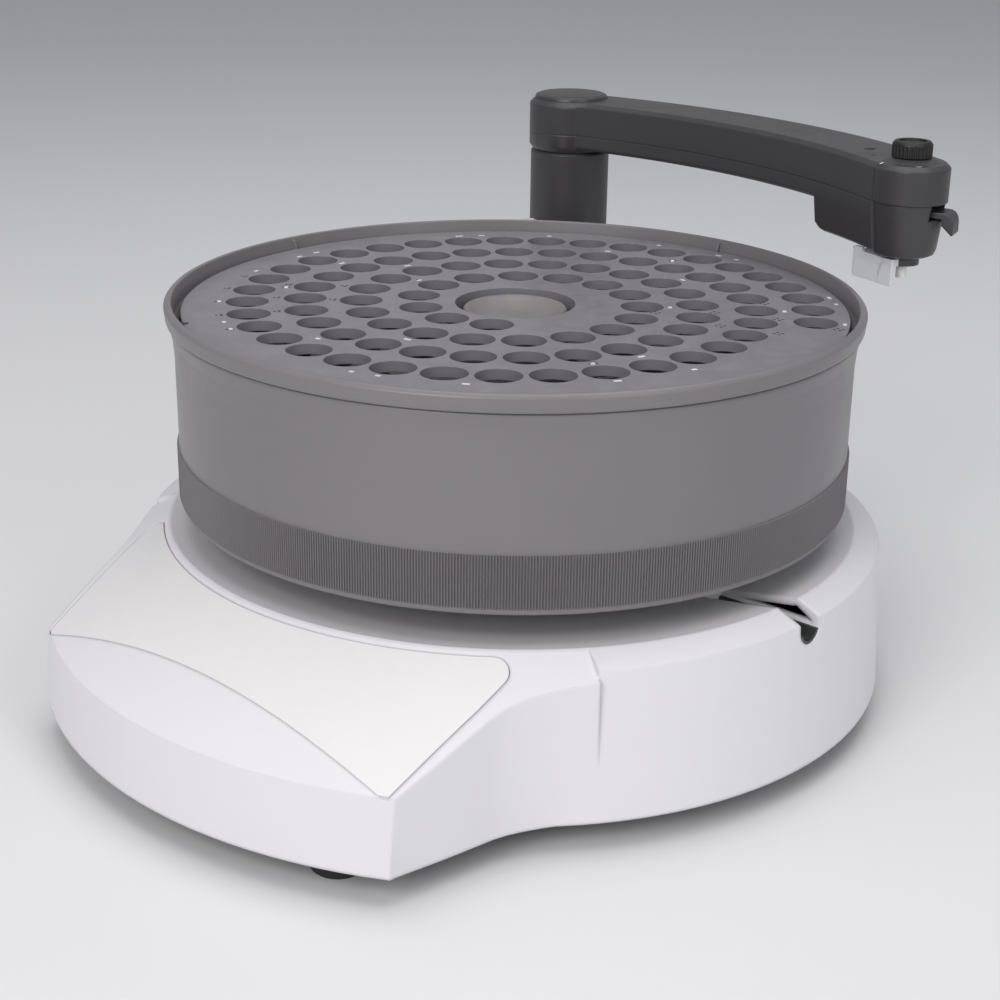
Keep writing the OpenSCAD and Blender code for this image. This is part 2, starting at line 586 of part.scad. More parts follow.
module arm_shaft() color(steel) translate([column_x, column_y, 0]) {
    translate([0, 0, plate_z + 0.4]) cylinder(r = shaft_r, h = column_top_z + 14 - plate_z);
    translate([0, 0, column_top_z + 14]) cylinder(r = 5, h = 4);
}

// Toothed sector: the teeth cover the whole swing and a little on each side.
module gear_tooth(pitch_r, teeth, high, low) polygon([[pitch_r - low - 0.6, -0.36 * PI * 2 * pitch_r / teeth * 1.0], [pitch_r - low, -0.3 * PI * 2 * pitch_r / teeth],
    [pitch_r, -0.215 * PI * 2 * pitch_r / teeth], [pitch_r + high, -0.11 * PI * 2 * pitch_r / teeth], [pitch_r + high, 0.11 * PI * 2 * pitch_r / teeth],
    [pitch_r, 0.215 * PI * 2 * pitch_r / teeth], [pitch_r - low, 0.3 * PI * 2 * pitch_r / teeth], [pitch_r - low - 0.6, 0.36 * PI * 2 * pitch_r / teeth]]);

module arm_gear() color([0.75, 0.6, 0.35]) translate([column_x, column_y, gear_z]) difference() {
    union() {
        cylinder(r = shaft_r + 4, h = 10);
        linear_extrude(6) {
            intersection() {
                circle(r = gear_pitch_r - 1.2);
                polygon([[0, 0], for (a = [-66:11:0]) [40 * cos(a), 40 * sin(a)]]);
            }
            for (i = [0:9]) rotate(column_azimuth + 180 - 360 + 3 + i * 6) gear_tooth(gear_pitch_r, 60, 0.9, 1.2);
            rotate(column_azimuth + 180 - 360 - 3) gear_tooth(gear_pitch_r, 60, 0.9, 1.2);
        }
    }
    translate([0, 0, -1]) cylinder(r = shaft_r, h = 14);
}

module arm_pinion() color([0.85, 0.72, 0.4]) translate([pinion_x, pinion_y, gear_z - 1]) {
    linear_extrude(8) {
        circle(r = pinion_pitch_r - 1.1);
        for (i = [0:11]) rotate(column_azimuth + i * 30) gear_tooth(pinion_pitch_r, 12, 0.9, 1.2);
    }
    translate([0, 0, -2.2]) cylinder(r = 2, h = 3);
}

// One length of the arm: the section given as children, swept along its bow.
module arm_sweep(from, to) translate([arc_x, arc_y, 0]) rotate([0, 0, from]) rotate_extrude(angle = to - from, $fn = 360)
    translate([arm_arc_r, 0]) children();

module arm_lower_shell() color(dark) difference() {
    union() {
        arm_sweep(arc_from + head_arc - 0.5, arc_to) polygon([[-half_arm + 1.2, arm_under_z], [half_arm - 1.2, arm_under_z], [half_arm, arm_under_z + 1.5],
            [half_arm, arm_seam_z], [-half_arm, arm_seam_z], [-half_arm, arm_under_z + 1.5]]);
        translate([column_x, column_y, 0]) {
            translate([0, 0, column_top_z + 0.3]) cylinder(r1 = hub_r - 1.6, r2 = hub_r, h = 2.5);
            translate([0, 0, column_top_z + 2.8]) cylinder(r = hub_r, h = arm_seam_z - column_top_z - 2.8);
        }
        arm_sweep(arc_from, arc_from + head_arc) polygon([[-half_arm + 3.4, head_under_z + 1.6], [half_arm - 3.4, head_under_z + 1.6],
            [half_arm - 1.9, head_under_z + 2.8], [half_arm - 0.2, arm_under_z], [half_arm, arm_under_z + 1.5], [half_arm, arm_seam_z],
            [-half_arm, arm_seam_z], [-half_arm, arm_under_z + 1.5], [-half_arm + 0.2, arm_under_z], [-half_arm + 1.9, head_under_z + 2.8]]);
        translate([head_x, head_y, 0]) rotate_extrude() polygon([[0, head_under_z], [head_r - 5.4, head_under_z], [head_r - 3.7, head_under_z + 0.9], [head_r - 2.9, head_under_z + 2.9],
            [head_r - 0.7, arm_seam_z - 1.3], [head_r - 0.7, arm_seam_z], [0, arm_seam_z]]);
    }
    // Sloping end of the deep part.
    translate([arc_x, arc_y, 0]) rotate([0, 0, arc_from + head_arc]) translate([arm_arc_r - half_arm - 2, 0, 0]) rotate([90, 0, 90])
        linear_extrude(arm_width + 4) polygon([[-5.6, head_under_z - 2], [2, head_under_z - 2], [2, head_under_z + 6.6], [-5.6, head_under_z + 1.1]]);
    arm_sweep(arc_from, arc_to - 8) polygon([[-half_arm + shell, arm_under_z + shell], [half_arm - shell, arm_under_z + shell], [half_arm - shell, arm_seam_z + 1], [-half_arm + shell, arm_seam_z + 1]]);
    arm_sweep(arc_from, arc_from + head_arc - 1.8) polygon([[-half_arm + 5, head_under_z + 4], [half_arm - 5, head_under_z + 4], [half_arm - 3.2, arm_seam_z + 1], [-half_arm + 3.2, arm_seam_z + 1]]);
    translate([head_x, head_y, head_under_z + 4]) cylinder(r1 = head_r - 5.4, r2 = head_r - 3.8, h = 30);
    translate([head_x, head_y, head_under_z - 2]) cylinder(r = 5 + running_gap, h = 20);
    translate([column_x, column_y, 180]) cylinder(r = shaft_r, h = 60);
    // Slot that the sensor lever swings in.
    for (a = [0, -sensor_swing / 2, -sensor_swing]) translate([head_x, head_y, head_under_z + 16.3]) rotate([0, 0, lever_az + a])
        translate([0, -lever_half - 0.6, 0]) cube([40, 2 * lever_half + 1.2, 20]);
    for (p = arm_screw_places) translate([p[0], p[1], 180]) cylinder(r = 1.5, h = 60);
}

arm_screw_places = [for (f = [0.3, 0.78]) [arc_x + arm_arc_r * cos(arc_from + f * (arc_to - arc_from)), arc_y + arm_arc_r * sin(arc_from + f * (arc_to - arc_from))]];

module arm_upper_shell() color([0.2, 0.195, 0.21]) difference() {
    union() {
        arm_sweep(arc_from, arc_to) polygon([[-half_arm, arm_seam_z], [half_arm, arm_seam_z], [half_arm, arm_top_z - bevel], [half_arm - bevel, arm_top_z], [-half_arm + bevel, arm_top_z], [-half_arm, arm_top_z - bevel]]);
        translate([column_x, column_y, 0]) {
            translate([0, 0, arm_seam_z]) cylinder(r = hub_r, h = arm_top_z - 2.4 - arm_seam_z);
            translate([0, 0, arm_top_z - 2.4]) cylinder(r1 = hub_r, r2 = hub_r - 2.4, h = 2.4);
        }
        translate([head_x, head_y, 0]) {
            translate([0, 0, arm_seam_z]) cylinder(r = head_r, h = arm_top_z - bevel - arm_seam_z);
            translate([0, 0, arm_top_z - bevel]) cylinder(r1 = head_r, r2 = head_r - bevel, h = bevel);
            translate([0, 0, arm_top_z - 0.2]) cylinder(r1 = head_r - 3, r2 = knob_r + 0.5, h = 1.9);
        }
    }
    arm_sweep(arc_from, arc_to - 8) polygon([[-half_arm + shell, arm_seam_z - 1], [half_arm - shell, arm_seam_z - 1], [half_arm - shell - 1, arm_top_z - shell - 1], [-half_arm + shell + 1, arm_top_z - shell - 1]]);
    translate([head_x, head_y, arm_seam_z - 1]) cylinder(r = head_r - shell, h = arm_top_z - shell - arm_seam_z);
    translate([head_x, head_y, 200]) cylinder(r = 3 + running_gap, h = 60);
    translate([column_x, column_y, 200]) cylinder(r = shaft_r, h = column_top_z + 14 - 200);
    translate([column_x, column_y, 200]) cylinder(r = 5, h = 40);
    translate([column_x, column_y, arm_top_z - 2.4]) cylinder(r = hub_r - 2.5, h = 10);
    translate([indicator[0], indicator[1], 200]) cylinder(r = 1.1, h = 40);
}
indicator = [arc_x + (arm_arc_r - 8) * cos(arc_from + 3.4), arc_y + (arm_arc_r - 8) * sin(arc_from + 3.4)];

module pivot_cap() color([0.22, 0.215, 0.23]) translate([column_x, column_y, 0]) rotate_extrude() polygon([[0, arm_top_z - 2.4], [hub_r - 2.5, arm_top_z - 2.4], [hub_r - 2.5, arm_top_z + 0.6],
    [hub_r - 3, arm_top_z + 1.5], [hub_r - 4.6, arm_top_z + 2.2], [10, arm_top_z + 2.6], [0, arm_top_z + 2.8]]);

module arm_screws() color(steel) for (p = arm_screw_places) translate([p[0], p[1], 0]) difference() {
    union() {
        translate([0, 0, arm_under_z - 1.2]) cylinder(r = 2.8, h = 1.2);
        translate([0, 0, arm_under_z - 0.2]) cylinder(r = 1.5, h = shell + 0.4);
    }
    translate([0, 0, arm_under_z - 2]) cylinder(r = 1.3, h = 1.5, $fn = 6);
}

module drop_sensor() color([0.12, 0.14, 0.13]) arm_sweep(arc_from + 3.9, arc_from + 7.2) polygon([[-9, head_under_z + 4], [9, head_under_z + 4], [9, head_under_z + 14], [-9, head_under_z + 14]]);

module tubing_outlet() color([0.9, 0.9, 0.88]) translate([head_x, head_y, 0]) difference() {
    union() {
        translate([0, 0, head_under_z - 10]) cylinder(r = 2.2, h = arm_top_z - shell - head_under_z + 6);
        translate([0, 0, arm_top_z - shell - 6.6]) cylinder(r = 6, h = 3);
        translate([0, 0, arm_top_z - shell - 5]) cylinder(r = 3.6, h = 1.6);
    }
    translate([0, 0, head_under_z - 12]) cylinder(r = 1, h = 60);
}

module holder_knob() color([0.07, 0.07, 0.075]) translate([head_x, head_y, arm_top_z + 2.1]) difference() {
    union() {
        cylinder(r = knob_r, h = knob_height - 1.2);
        translate([0, 0, knob_height - 1.2]) cylinder(r1 = knob_r, r2 = knob_r - 1, h = 1.2);
        translate([0, 0, -5.2]) cylinder(r = 3, h = 6);
    }
    for (i = [0:27]) rotate([0, 0, i * 360 / 28]) translate([knob_r + 0.35, 0, -1]) cylinder(r = 0.75, h = knob_height - 0.6);
    translate([0, 0, knob_height - 0.6]) cylinder(r = knob_r - 2.6, h = 2);
}

module sensor_lever() color([0.2, 0.19, 0.2]) translate([head_x, head_y, 0]) difference() {
    union() {
        translate([0, 0, head_under_z + 16]) cylinder(r = 10.5, h = 4);
        translate([0, 0, head_under_z - 4]) cylinder(r = 5, h = 21);
        translate([0, 0, head_under_z - 4]) cylinder(r = 7, h = 3.4);
        rotate([0, 0, lever_az]) {
            translate([0, -lever_half, head_under_z + 17]) cube([16.5, 2 * lever_half, 2.6]);
            translate([0, lever_half, head_under_z]) rotate([90, 0, 0]) linear_extrude(2 * lever_half)
                polygon([[16.1, 17], [16.1, 19.6], [17.6, 19.5], [19.2, 18.7], [20.3, 17.2], [20.8, 15.2], [20.9, 10.6], [20.3, 10.6], [16.1, 14.4]]);
        }
    }
    translate([0, 0, head_under_z - 20]) cylinder(r = 2.6, h = 60);
}

// Clear guard under the head: two leaves in front, a return at the end and a web around the lever's foot.
module sensor_plate() color([0.93, 0.94, 0.95]) translate([head_x, head_y, head_under_z - 12]) rotate([0, 0, lever_az - 32]) difference() {
    union() {
        translate([0, -8.2, 0]) rotate([90, 0, 0]) linear_extrude(1.7) polygon([[-18.8, 0.8], [-18, 0], [-3.5, 0], [-3.5, 11.2], [-13.6, 11.2], [-14.4, 12.8], [-18.8, 12.8]]);
        translate([0, -8.6, 0]) rotate([90, 0, 0]) linear_extrude(1.8) polygon([[-3.8, 0], [4, 0], [4.6, 0.7], [4.6, 11.2], [0.2, 11.2]]);
        translate([-17.9, -9.7, 0]) rotate([0, 0, 142]) translate([0.8, -0.6, 0]) cube([7.2, 1.1, 11]);
        translate([-18.3, -9.6, 8]) cube([22.3, 4.6, 3]);
        translate([-18.3, -9.6, 8]) cube([13.3, 14, 3]);
    }
    translate([0, 0, -1]) cylinder(r = 7, h = 30);
}

module drive_lever() color(steel) difference() {
    union() {
        hull() {
            translate([lever_x, lever_y, lever_z]) cylinder(r = 9, h = 2, $fn = 32);
            translate([sleeve_x, sleeve_y, lever_z]) cylinder(r = 12, h = 2, $fn = 32);
        }
        translate([lever_x, lever_y, lever_z - 1]) cylinder(r = 7, h = 5.2);
    }
    translate([lever_x, lever_y, 40]) cylinder(r = 4 + running_gap, h = 40);
    translate([sleeve_x, sleeve_y, 40]) cylinder(r = 3.4, h = 40);
}

module lever_spring() color([0.65, 0.66, 0.68]) translate([lever_x, lever_y, 0]) {
    for (i = [0:4]) translate([0, 0, 48 + 1.9 * i]) rotate_extrude() translate([6, 0]) circle(r = 1.05, $fn = 24);
    translate([6, 0, 48]) rotate([90, 0, 0]) cylinder(r = 0.9, h = 16);
    translate([-6, 0, 55.6]) cylinder(r = 0.9, h = lever_z - 1 - 55.6);
}

module drive_motor() color([0.28, 0.28, 0.3]) translate([sleeve_x, sleeve_y, 0]) {
    translate([0, 0, 26]) cylinder(r = 16, h = lever_z - 26);
    translate([0, 0, lever_z - 1]) difference() {
        cylinder(r = 3.4, h = 4.6);
        translate([0, 0, -1]) cylinder(r = 2.5, h = 8);
    }
    translate([0, 0, 24]) cylinder(r = 6, h = 3);
}

module sleeve_shaft() color(steel) translate([sleeve_x, sleeve_y, lever_z + 0.2]) cylinder(r = 2.45, h = sleeve_high_z + 1 - lever_z);

module drive_sleeve() color([0.35, 0.35, 0.37]) translate([sleeve_x, sleeve_y, 0]) difference() {
    union() {
        translate([0, 0, sleeve_low_z]) cylinder(r = sleeve_r - 2, h = sleeve_high_z - sleeve_low_z);
        translate([0, 0, sleeve_low_z]) cylinder(r = sleeve_r - 0.6, h = 1);
    }
    translate([0, 0, sleeve_low_z - 1]) cylinder(r = 2.45, h = 60);
}

module sleeve_tyre() color([0.09, 0.09, 0.09]) translate([sleeve_x, sleeve_y, 0]) difference() {
    translate([0, 0, sleeve_low_z + 1]) cylinder(r = sleeve_r, h = sleeve_high_z - sleeve_low_z - 1);
    translate([0, 0, sleeve_low_z]) cylinder(r = sleeve_r - 2, h = 60);
}

base_housing();
front_panel();
base_plate();
feet();
base_screws();
bearing_housing();
spindle_bearings();
drain_liner();
column();
column_bush_lower();
column_bush_upper();
arm_motor();
arm_motor_bracket();
circuit_board();
power_inlet();
power_switch();
signal_sockets();
lever_pin();
turntable();
drive_pins();
turntable_screw();
bowl();
hub_cap();
tube_guide();
tube_holder();
tube_support();
rack_posts();
rack_screws();
arm_shaft();
arm_gear();
arm_lower_shell();
arm_upper_shell();
pivot_cap();
arm_screws();
drop_sensor();
tubing_outlet();
holder_knob();
sensor_lever();
sensor_plate();
arm_pinion();
drive_lever();
lever_spring();
drive_motor();
sleeve_shaft();
drive_sleeve();
sleeve_tyre();
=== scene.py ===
import math

import bmesh
import bpy
from mathutils import Matrix, Vector


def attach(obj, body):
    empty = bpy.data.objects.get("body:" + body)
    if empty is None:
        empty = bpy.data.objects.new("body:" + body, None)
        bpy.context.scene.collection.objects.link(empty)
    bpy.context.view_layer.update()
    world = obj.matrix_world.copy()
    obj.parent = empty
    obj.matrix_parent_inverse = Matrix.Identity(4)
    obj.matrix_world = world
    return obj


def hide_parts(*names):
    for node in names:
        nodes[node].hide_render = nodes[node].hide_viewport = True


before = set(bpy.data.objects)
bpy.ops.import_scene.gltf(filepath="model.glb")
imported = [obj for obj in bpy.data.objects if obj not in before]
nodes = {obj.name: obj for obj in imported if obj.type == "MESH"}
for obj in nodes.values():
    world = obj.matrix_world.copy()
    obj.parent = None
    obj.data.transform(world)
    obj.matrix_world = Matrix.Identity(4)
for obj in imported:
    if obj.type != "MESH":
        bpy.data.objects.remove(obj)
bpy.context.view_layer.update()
MM = 0.001


# ---- Base housing ---------------------------------------------------------------------------
# One large moulding in off-white styrene: a round drum, the console in front and the tower behind.
# The mould is lightly textured, so the skin is satin with a fine grain, and the corners are soft.
# It carries every other piece and is screwed to the plate underneath.
def place(tree, kind, sockets=None, **settings):
    """Adds a node; a socket given an output is linked, and one given a number is set."""
    node = tree.nodes.new(kind)
    for name, value in settings.items():
        setattr(node, name, value)
    for name, value in (sockets or {}).items():
        socket = node.inputs[name]
        if isinstance(value, bpy.types.NodeSocket):
            tree.links.new(value, socket)
        else:
            socket.default_value = value
    return node


def shader_group(name, inputs, outputs):
    """A shader node group with named sockets: returns the tree, its input node and its output node."""
    tree = bpy.data.node_groups.new(name, "ShaderNodeTree")
    for label, kind, value in inputs:
        socket = tree.interface.new_socket(label, in_out="INPUT", socket_type=kind)
        if value is not None:
            socket.default_value = value
    for label, kind in outputs:
        tree.interface.new_socket(label, in_out="OUTPUT", socket_type=kind)
    return tree, tree.nodes.new("NodeGroupInput"), tree.nodes.new("NodeGroupOutput")


def math_node(tree, operation, a, b=0.0, clamp=False):
    """A Math node's output for two inputs, which may be sockets or numbers."""
    return place(tree, "ShaderNodeMath", {0: a, 1: b}, operation=operation, use_clamp=clamp).outputs[0]


def build_moulded_grain():
    """Spark-eroded mould texture: a fine pebbled height and a broad, faint mottling."""
    tree, given, out = shader_group(
        "Moulded grain",
        [("Position", "NodeSocketVector", None), ("Grain size", "NodeSocketFloat", 0.0006),
         ("Mottle size", "NodeSocketFloat", 0.03)],
        [("Height", "NodeSocketFloat"), ("Mottle", "NodeSocketFloat")])
    grain_scale = math_node(tree, "DIVIDE", 1.0, given.outputs["Grain size"])
    pebble = place(tree, "ShaderNodeTexNoise", {"Vector": given.outputs["Position"], "Scale": grain_scale,
                                                "Detail": 2.0, "Roughness": 0.55})
    fine_scale = math_node(tree, "MULTIPLY", grain_scale, 0.42)
    cell = place(tree, "ShaderNodeTexVoronoi", {"Vector": given.outputs["Position"], "Scale": fine_scale},
                 feature="SMOOTH_F1")
    height = math_node(tree, "ADD", pebble.outputs[0], math_node(tree, "MULTIPLY", cell.outputs["Distance"], 0.4))
    mottle_scale = math_node(tree, "DIVIDE", 1.0, given.outputs["Mottle size"])
    mottle = place(tree, "ShaderNodeTexNoise", {"Vector": given.outputs["Position"], "Scale": mottle_scale,
                                                "Detail": 5.0, "Roughness": 0.6})
    tree.links.new(height, out.inputs["Height"])
    tree.links.new(mottle.outputs[0], out.inputs["Mottle"])
    return tree


def build_soft_edge():
    """Rounded corners: a normal that turns over each edge, and a mask of where the edges are."""
    tree, given, out = shader_group(
        "Soft edge",
        [("Radius", "NodeSocketFloat", 0.0008)],
        [("Normal", "NodeSocketVector"), ("Edge", "NodeSocketFloat")])
    bevel = place(tree, "ShaderNodeBevel", {"Radius": given.outputs["Radius"]}, samples=8)
    surface = place(tree, "ShaderNodeNewGeometry")
    same = place(tree, "ShaderNodeVectorMath", {0: bevel.outputs[0], 1: surface.outputs["Normal"]},
                 operation="DOT_PRODUCT")
    edge = math_node(tree, "MULTIPLY", math_node(tree, "SUBTRACT", 1.0, same.outputs["Value"]), 3.0, clamp=True)
    tree.links.new(bevel.outputs[0], out.inputs["Normal"])
    tree.links.new(edge, out.inputs["Edge"])
    return tree


def build_handling_marks():
    """Marks from use: thin scratches in two directions and soft smudges, each as a mask."""
    tree, given, out = shader_group(
        "Handling marks",
        [("Position", "NodeSocketVector", None), ("Scratch size", "NodeSocketFloat", 0.02),
         ("Smudge size", "NodeSocketFloat", 0.035)],
        [("Scratches", "NodeSocketFloat"), ("Smudges", "NodeSocketFloat")])
    scratch_scale = math_node(tree, "DIVIDE", 1.0, given.outputs["Scratch size"])
    total = None
    for turn, squeeze in ((0.4, 26.0), (2.1, 34.0)):
        turned = place(tree, "ShaderNodeMapping", {"Vector": given.outputs["Position"], "Rotation": (0.3, turn, turn),
                                                   "Scale": (1.0, squeeze, squeeze * 0.6)})
        streak = place(tree, "ShaderNodeTexNoise", {"Vector": turned.outputs[0], "Scale": scratch_scale,
                                                    "Detail": 1.0, "Roughness": 0.4})
        line = math_node(tree, "MULTIPLY", math_node(tree, "SUBTRACT", streak.outputs[0], 0.74), 14.0, clamp=True)
        total = line if total is None else math_node(tree, "MAXIMUM", total, line)
    smudge_scale = math_node(tree, "DIVIDE", 1.0, given.outputs["Smudge size"])
    cloud = place(tree, "ShaderNodeTexNoise", {"Vector": given.outputs["Position"], "Scale": smudge_scale,
                                               "Detail": 3.0, "Roughness": 0.55, "Distortion": 0.6})
    smudge = math_node(tree, "MULTIPLY", math_node(tree, "SUBTRACT", cloud.outputs[0], 0.5), 3.0, clamp=True)
    tree.links.new(total, out.inputs["Scratches"])
    tree.links.new(smudge, out.inputs["Smudges"])
    return tree


def build_settled_dust():
    """Dust that lies on faces that look up, thicker in patches."""
    tree, given, out = shader_group(
        "Settled dust",
        [("Position", "NodeSocketVector", None), ("Patch size", "NodeSocketFloat", 0.01)],
        [("Dust", "NodeSocketFloat")])
    surface = place(tree, "ShaderNodeNewGeometry")
    up = place(tree, "ShaderNodeSeparateXYZ", {0: surface.outputs["Normal"]})
    facing = math_node(tree, "MULTIPLY", math_node(tree, "SUBTRACT", up.outputs["Z"], 0.55), 2.4, clamp=True)
    patch = place(tree, "ShaderNodeTexNoise", {"Vector": given.outputs["Position"],
                                               "Scale": math_node(tree, "DIVIDE", 1.0, given.outputs["Patch size"]),
                                               "Detail": 6.0, "Roughness": 0.7})
    thick = math_node(tree, "MULTIPLY", math_node(tree, "SUBTRACT", patch.outputs[0], 0.42), 2.6, clamp=True)
    tree.links.new(math_node(tree, "MULTIPLY", facing, thick), out.inputs["Dust"])
    return tree


moulded_grain = build_moulded_grain()
soft_edge = build_soft_edge()
handling_marks = build_handling_marks()
settled_dust = build_settled_dust()


def tint(tree, amount, under, over):
    """The colour under, turned towards the colour over by the mask amount."""
    mix = place(tree, "ShaderNodeMix", {0: amount}, data_type="RGBA")
    for socket, value in ((mix.inputs[6], under), (mix.inputs[7], over)):
        if isinstance(value, bpy.types.NodeSocket):
            tree.links.new(value, socket)
        else:
            socket.default_value = (*value, 1.0)
    return mix.outputs[2]


def shaded(colour, factor, lift=0.0):
    """The colour times factor plus lift, kept at or under 1."""
    return tuple(min(1.0, c * factor + lift) for c in colour)


def start_material(name):
    """An empty node material: returns it, its tree and the piece's own coordinates in metres."""
    material = bpy.data.materials.new(name)
    material.use_nodes = True
    tree = material.node_tree
    tree.nodes.clear()
    return material, tree, place(tree, "ShaderNodeTexCoord").outputs["Object"]


def end_material(tree, shader):
    """Wires the shader to the material's surface."""
    tree.links.new(shader.outputs[0], place(tree, "ShaderNodeOutputMaterial").inputs[0])


def moulded(name, colour, rough, grain=0.6, relief=0.02, edge=0.8, mottle=0.05, worn=0.12, dust=0.0,
            scratch=0.12, smudge=0.08, coat=0.0, metallic=0.0, dust_colour=(0.42, 0.40, 0.36), mottle_size=0.03):
    """Material of a moulded skin or of plain metal.

    grain, relief and edge are in millimetres, mottle_size in metres, and the other values are shares.
    """
    material, tree, position = start_material(name)
    skin = place(tree, "ShaderNodeGroup", {"Position": position, "Grain size": grain * MM,
                                           "Mottle size": mottle_size}, node_tree=moulded_grain)
    corner = place(tree, "ShaderNodeGroup", {"Radius": edge * MM}, node_tree=soft_edge)
    marks = place(tree, "ShaderNodeGroup", {"Position": position}, node_tree=handling_marks)
    shade = tint(tree, skin.outputs["Mottle"], shaded(colour, 1 - mottle), shaded(colour, 1 + mottle, mottle * 0.02))
    shade = tint(tree, math_node(tree, "MULTIPLY", corner.outputs["Edge"], worn), shade, shaded(colour, 1.5, 0.06))
    shade = tint(tree, math_node(tree, "MULTIPLY", marks.outputs["Scratches"], scratch), shade,
                 shaded(colour, 1.35, 0.05))
    rough_now = math_node(tree, "ADD", rough, math_node(tree, "MULTIPLY", marks.outputs["Smudges"], smudge))
    unevenness = math_node(tree, "MULTIPLY", math_node(tree, "SUBTRACT", skin.outputs["Mottle"], 0.5), 0.12)
    rough_now = math_node(tree, "ADD", rough_now, unevenness, clamp=True)
    if dust:
        film = place(tree, "ShaderNodeGroup", {"Position": position}, node_tree=settled_dust)
        amount = math_node(tree, "MULTIPLY", film.outputs["Dust"], dust)
        shade = tint(tree, amount, shade, dust_colour)
        rough_now = math_node(tree, "ADD", rough_now, math_node(tree, "MULTIPLY", amount, 0.3), clamp=True)
    bump = place(tree, "ShaderNodeBump", {"Height": skin.outputs["Height"], "Strength": 0.6,
                                          "Distance": relief * MM, "Normal": corner.outputs["Normal"]})
    end_material(tree, place(tree, "ShaderNodeBsdfPrincipled", {
        "Base Color": shade, "Roughness": rough_now, "Metallic": metallic, "Normal": bump.outputs[0],
        "Coat Weight": coat, "Coat Roughness": 0.18}))
    return material


def split_edges(piece, degrees):
    """Keeps the edges of piece that are sharper than degrees hard in the shading."""
    split = piece.modifiers.new("sharp edges", "EDGE_SPLIT")
    split.split_angle = math.radians(degrees)


def dress(name, material, smooth=32.0):
    """Gives a CAD node its material, and rounds its shading except over edges sharper than smooth degrees."""
    piece = nodes[name]
    piece.data.materials.clear()
    piece.data.materials.append(material)
    piece.data.shade_smooth()
    weld = piece.modifiers.new("weld", "WELD")
    weld.merge_threshold = 0.002 * MM
    split_edges(piece, smooth)


pale_dust = (0.5, 0.48, 0.44)
housing_white = moulded("housing_white", (0.79, 0.775, 0.80), 0.42, grain=0.5, relief=0.012, edge=2.2, mottle=0.022,
                        worn=0.0, scratch=0.06, smudge=0.10, dust=0.05, dust_colour=pale_dust, mottle_size=0.06)
dress("base_housing", housing_white, 28.0)

# ---- Front panel ----------------------------------------------------------------------------
# A loose cover sheet in the same off-white, let into the console's top with a hairline gap all round.
# Its skin is a little smoother and yellower than the housing's, with faint grey rubs.
panel_white = moulded("panel_white", (0.815, 0.80, 0.80), 0.36, grain=0.45, relief=0.008, edge=0.5, mottle=0.03,
                      worn=0.0, scratch=0.08, smudge=0.12, dust=0.06, dust_colour=pale_dust, mottle_size=0.045)
dress("front_panel", panel_white)

# ---- Base plate, feet and screws -------------------------------------------------------------
# Black plate that closes the base from below, held by six steel screws, on four rubber feet.
plate_black = moulded("plate_black", (0.028, 0.028, 0.031), 0.55, grain=0.8, relief=0.03, edge=0.6)
foot_rubber = moulded("foot_rubber", (0.022, 0.022, 0.023), 0.78, grain=0.5, relief=0.03, edge=1.2, mottle=0.14,
                      worn=0.2, dust=0.25)
dress("base_plate", plate_black)
dress("feet", foot_rubber)


def build_turning_marks():
    """Fine rings as a lathe leaves them, around the vertical through the part's middle."""
    tree, given, out = shader_group(
        "Turning marks",
        [("Position", "NodeSocketVector", None), ("Pitch", "NodeSocketFloat", 0.0005)],
        [("Rings", "NodeSocketFloat")])
    parts = place(tree, "ShaderNodeSeparateXYZ", {0: given.outputs["Position"]})
    flat = place(tree, "ShaderNodeCombineXYZ", {"X": parts.outputs["X"], "Y": parts.outputs["Y"]})
    radius = place(tree, "ShaderNodeVectorMath", {0: flat.outputs[0]}, operation="LENGTH")
    along = math_node(tree, "ADD", radius.outputs["Value"], parts.outputs["Z"])
    steps = place(tree, "ShaderNodeCombineXYZ",
                  {"X": math_node(tree, "DIVIDE", along, given.outputs["Pitch"])})
    rings = place(tree, "ShaderNodeTexNoise", {"Vector": steps.outputs[0], "Scale": 1.0, "Detail": 3.0,
                                               "Roughness": 0.7})
    tree.links.new(rings.outputs[0], out.inputs["Rings"])
    return tree


turning_marks = build_turning_marks()


def machined(name, colour, rough, pitch=0.4):
    """Material of turned metal with rings pitch millimetres apart and a little grime."""
    material, tree, position = start_material(name)
    turned = place(tree, "ShaderNodeGroup", {"Position": position, "Pitch": pitch * MM}, node_tree=turning_marks)
    corner = place(tree, "ShaderNodeGroup", {"Radius": 0.3 * MM}, node_tree=soft_edge)
    marks = place(tree, "ShaderNodeGroup", {"Position": position}, node_tree=handling_marks)
    shade = tint(tree, turned.outputs["Rings"], shaded(colour, 0.86), shaded(colour, 1.1))
    shade = tint(tree, math_node(tree, "MULTIPLY", marks.outputs["Smudges"], 0.25), shade, shaded(colour, 0.7))
    rough_now = math_node(tree, "ADD", rough, math_node(tree, "MULTIPLY", marks.outputs["Smudges"], 0.15), clamp=True)
    bump = place(tree, "ShaderNodeBump", {"Height": turned.outputs["Rings"], "Strength": 0.5,
                                          "Distance": 0.01 * MM, "Normal": corner.outputs["Normal"]})
    end_material(tree, place(tree, "ShaderNodeBsdfPrincipled", {
        "Base Color": shade, "Roughness": rough_now, "Metallic": 1.0, "Normal": bump.outputs[0]}))
    return material


screw_steel = machined("screw_steel", (0.55, 0.55, 0.56), 0.32, pitch=0.25)
dress("base_screws", screw_steel)

# ---- Spindle bearing housing and bearings ----------------------------------------------------
# Turned aluminium housing under the middle of the dish, with two shielded ball bearings pressed in.
housing_alloy = machined("housing_alloy", (0.72, 0.73, 0.74), 0.38)
bearing_steel = machined("bearing_steel", (0.62, 0.62, 0.63), 0.2, pitch=0.2)
dress("bearing_housing", housing_alloy)
dress("spindle_bearings", bearing_steel)

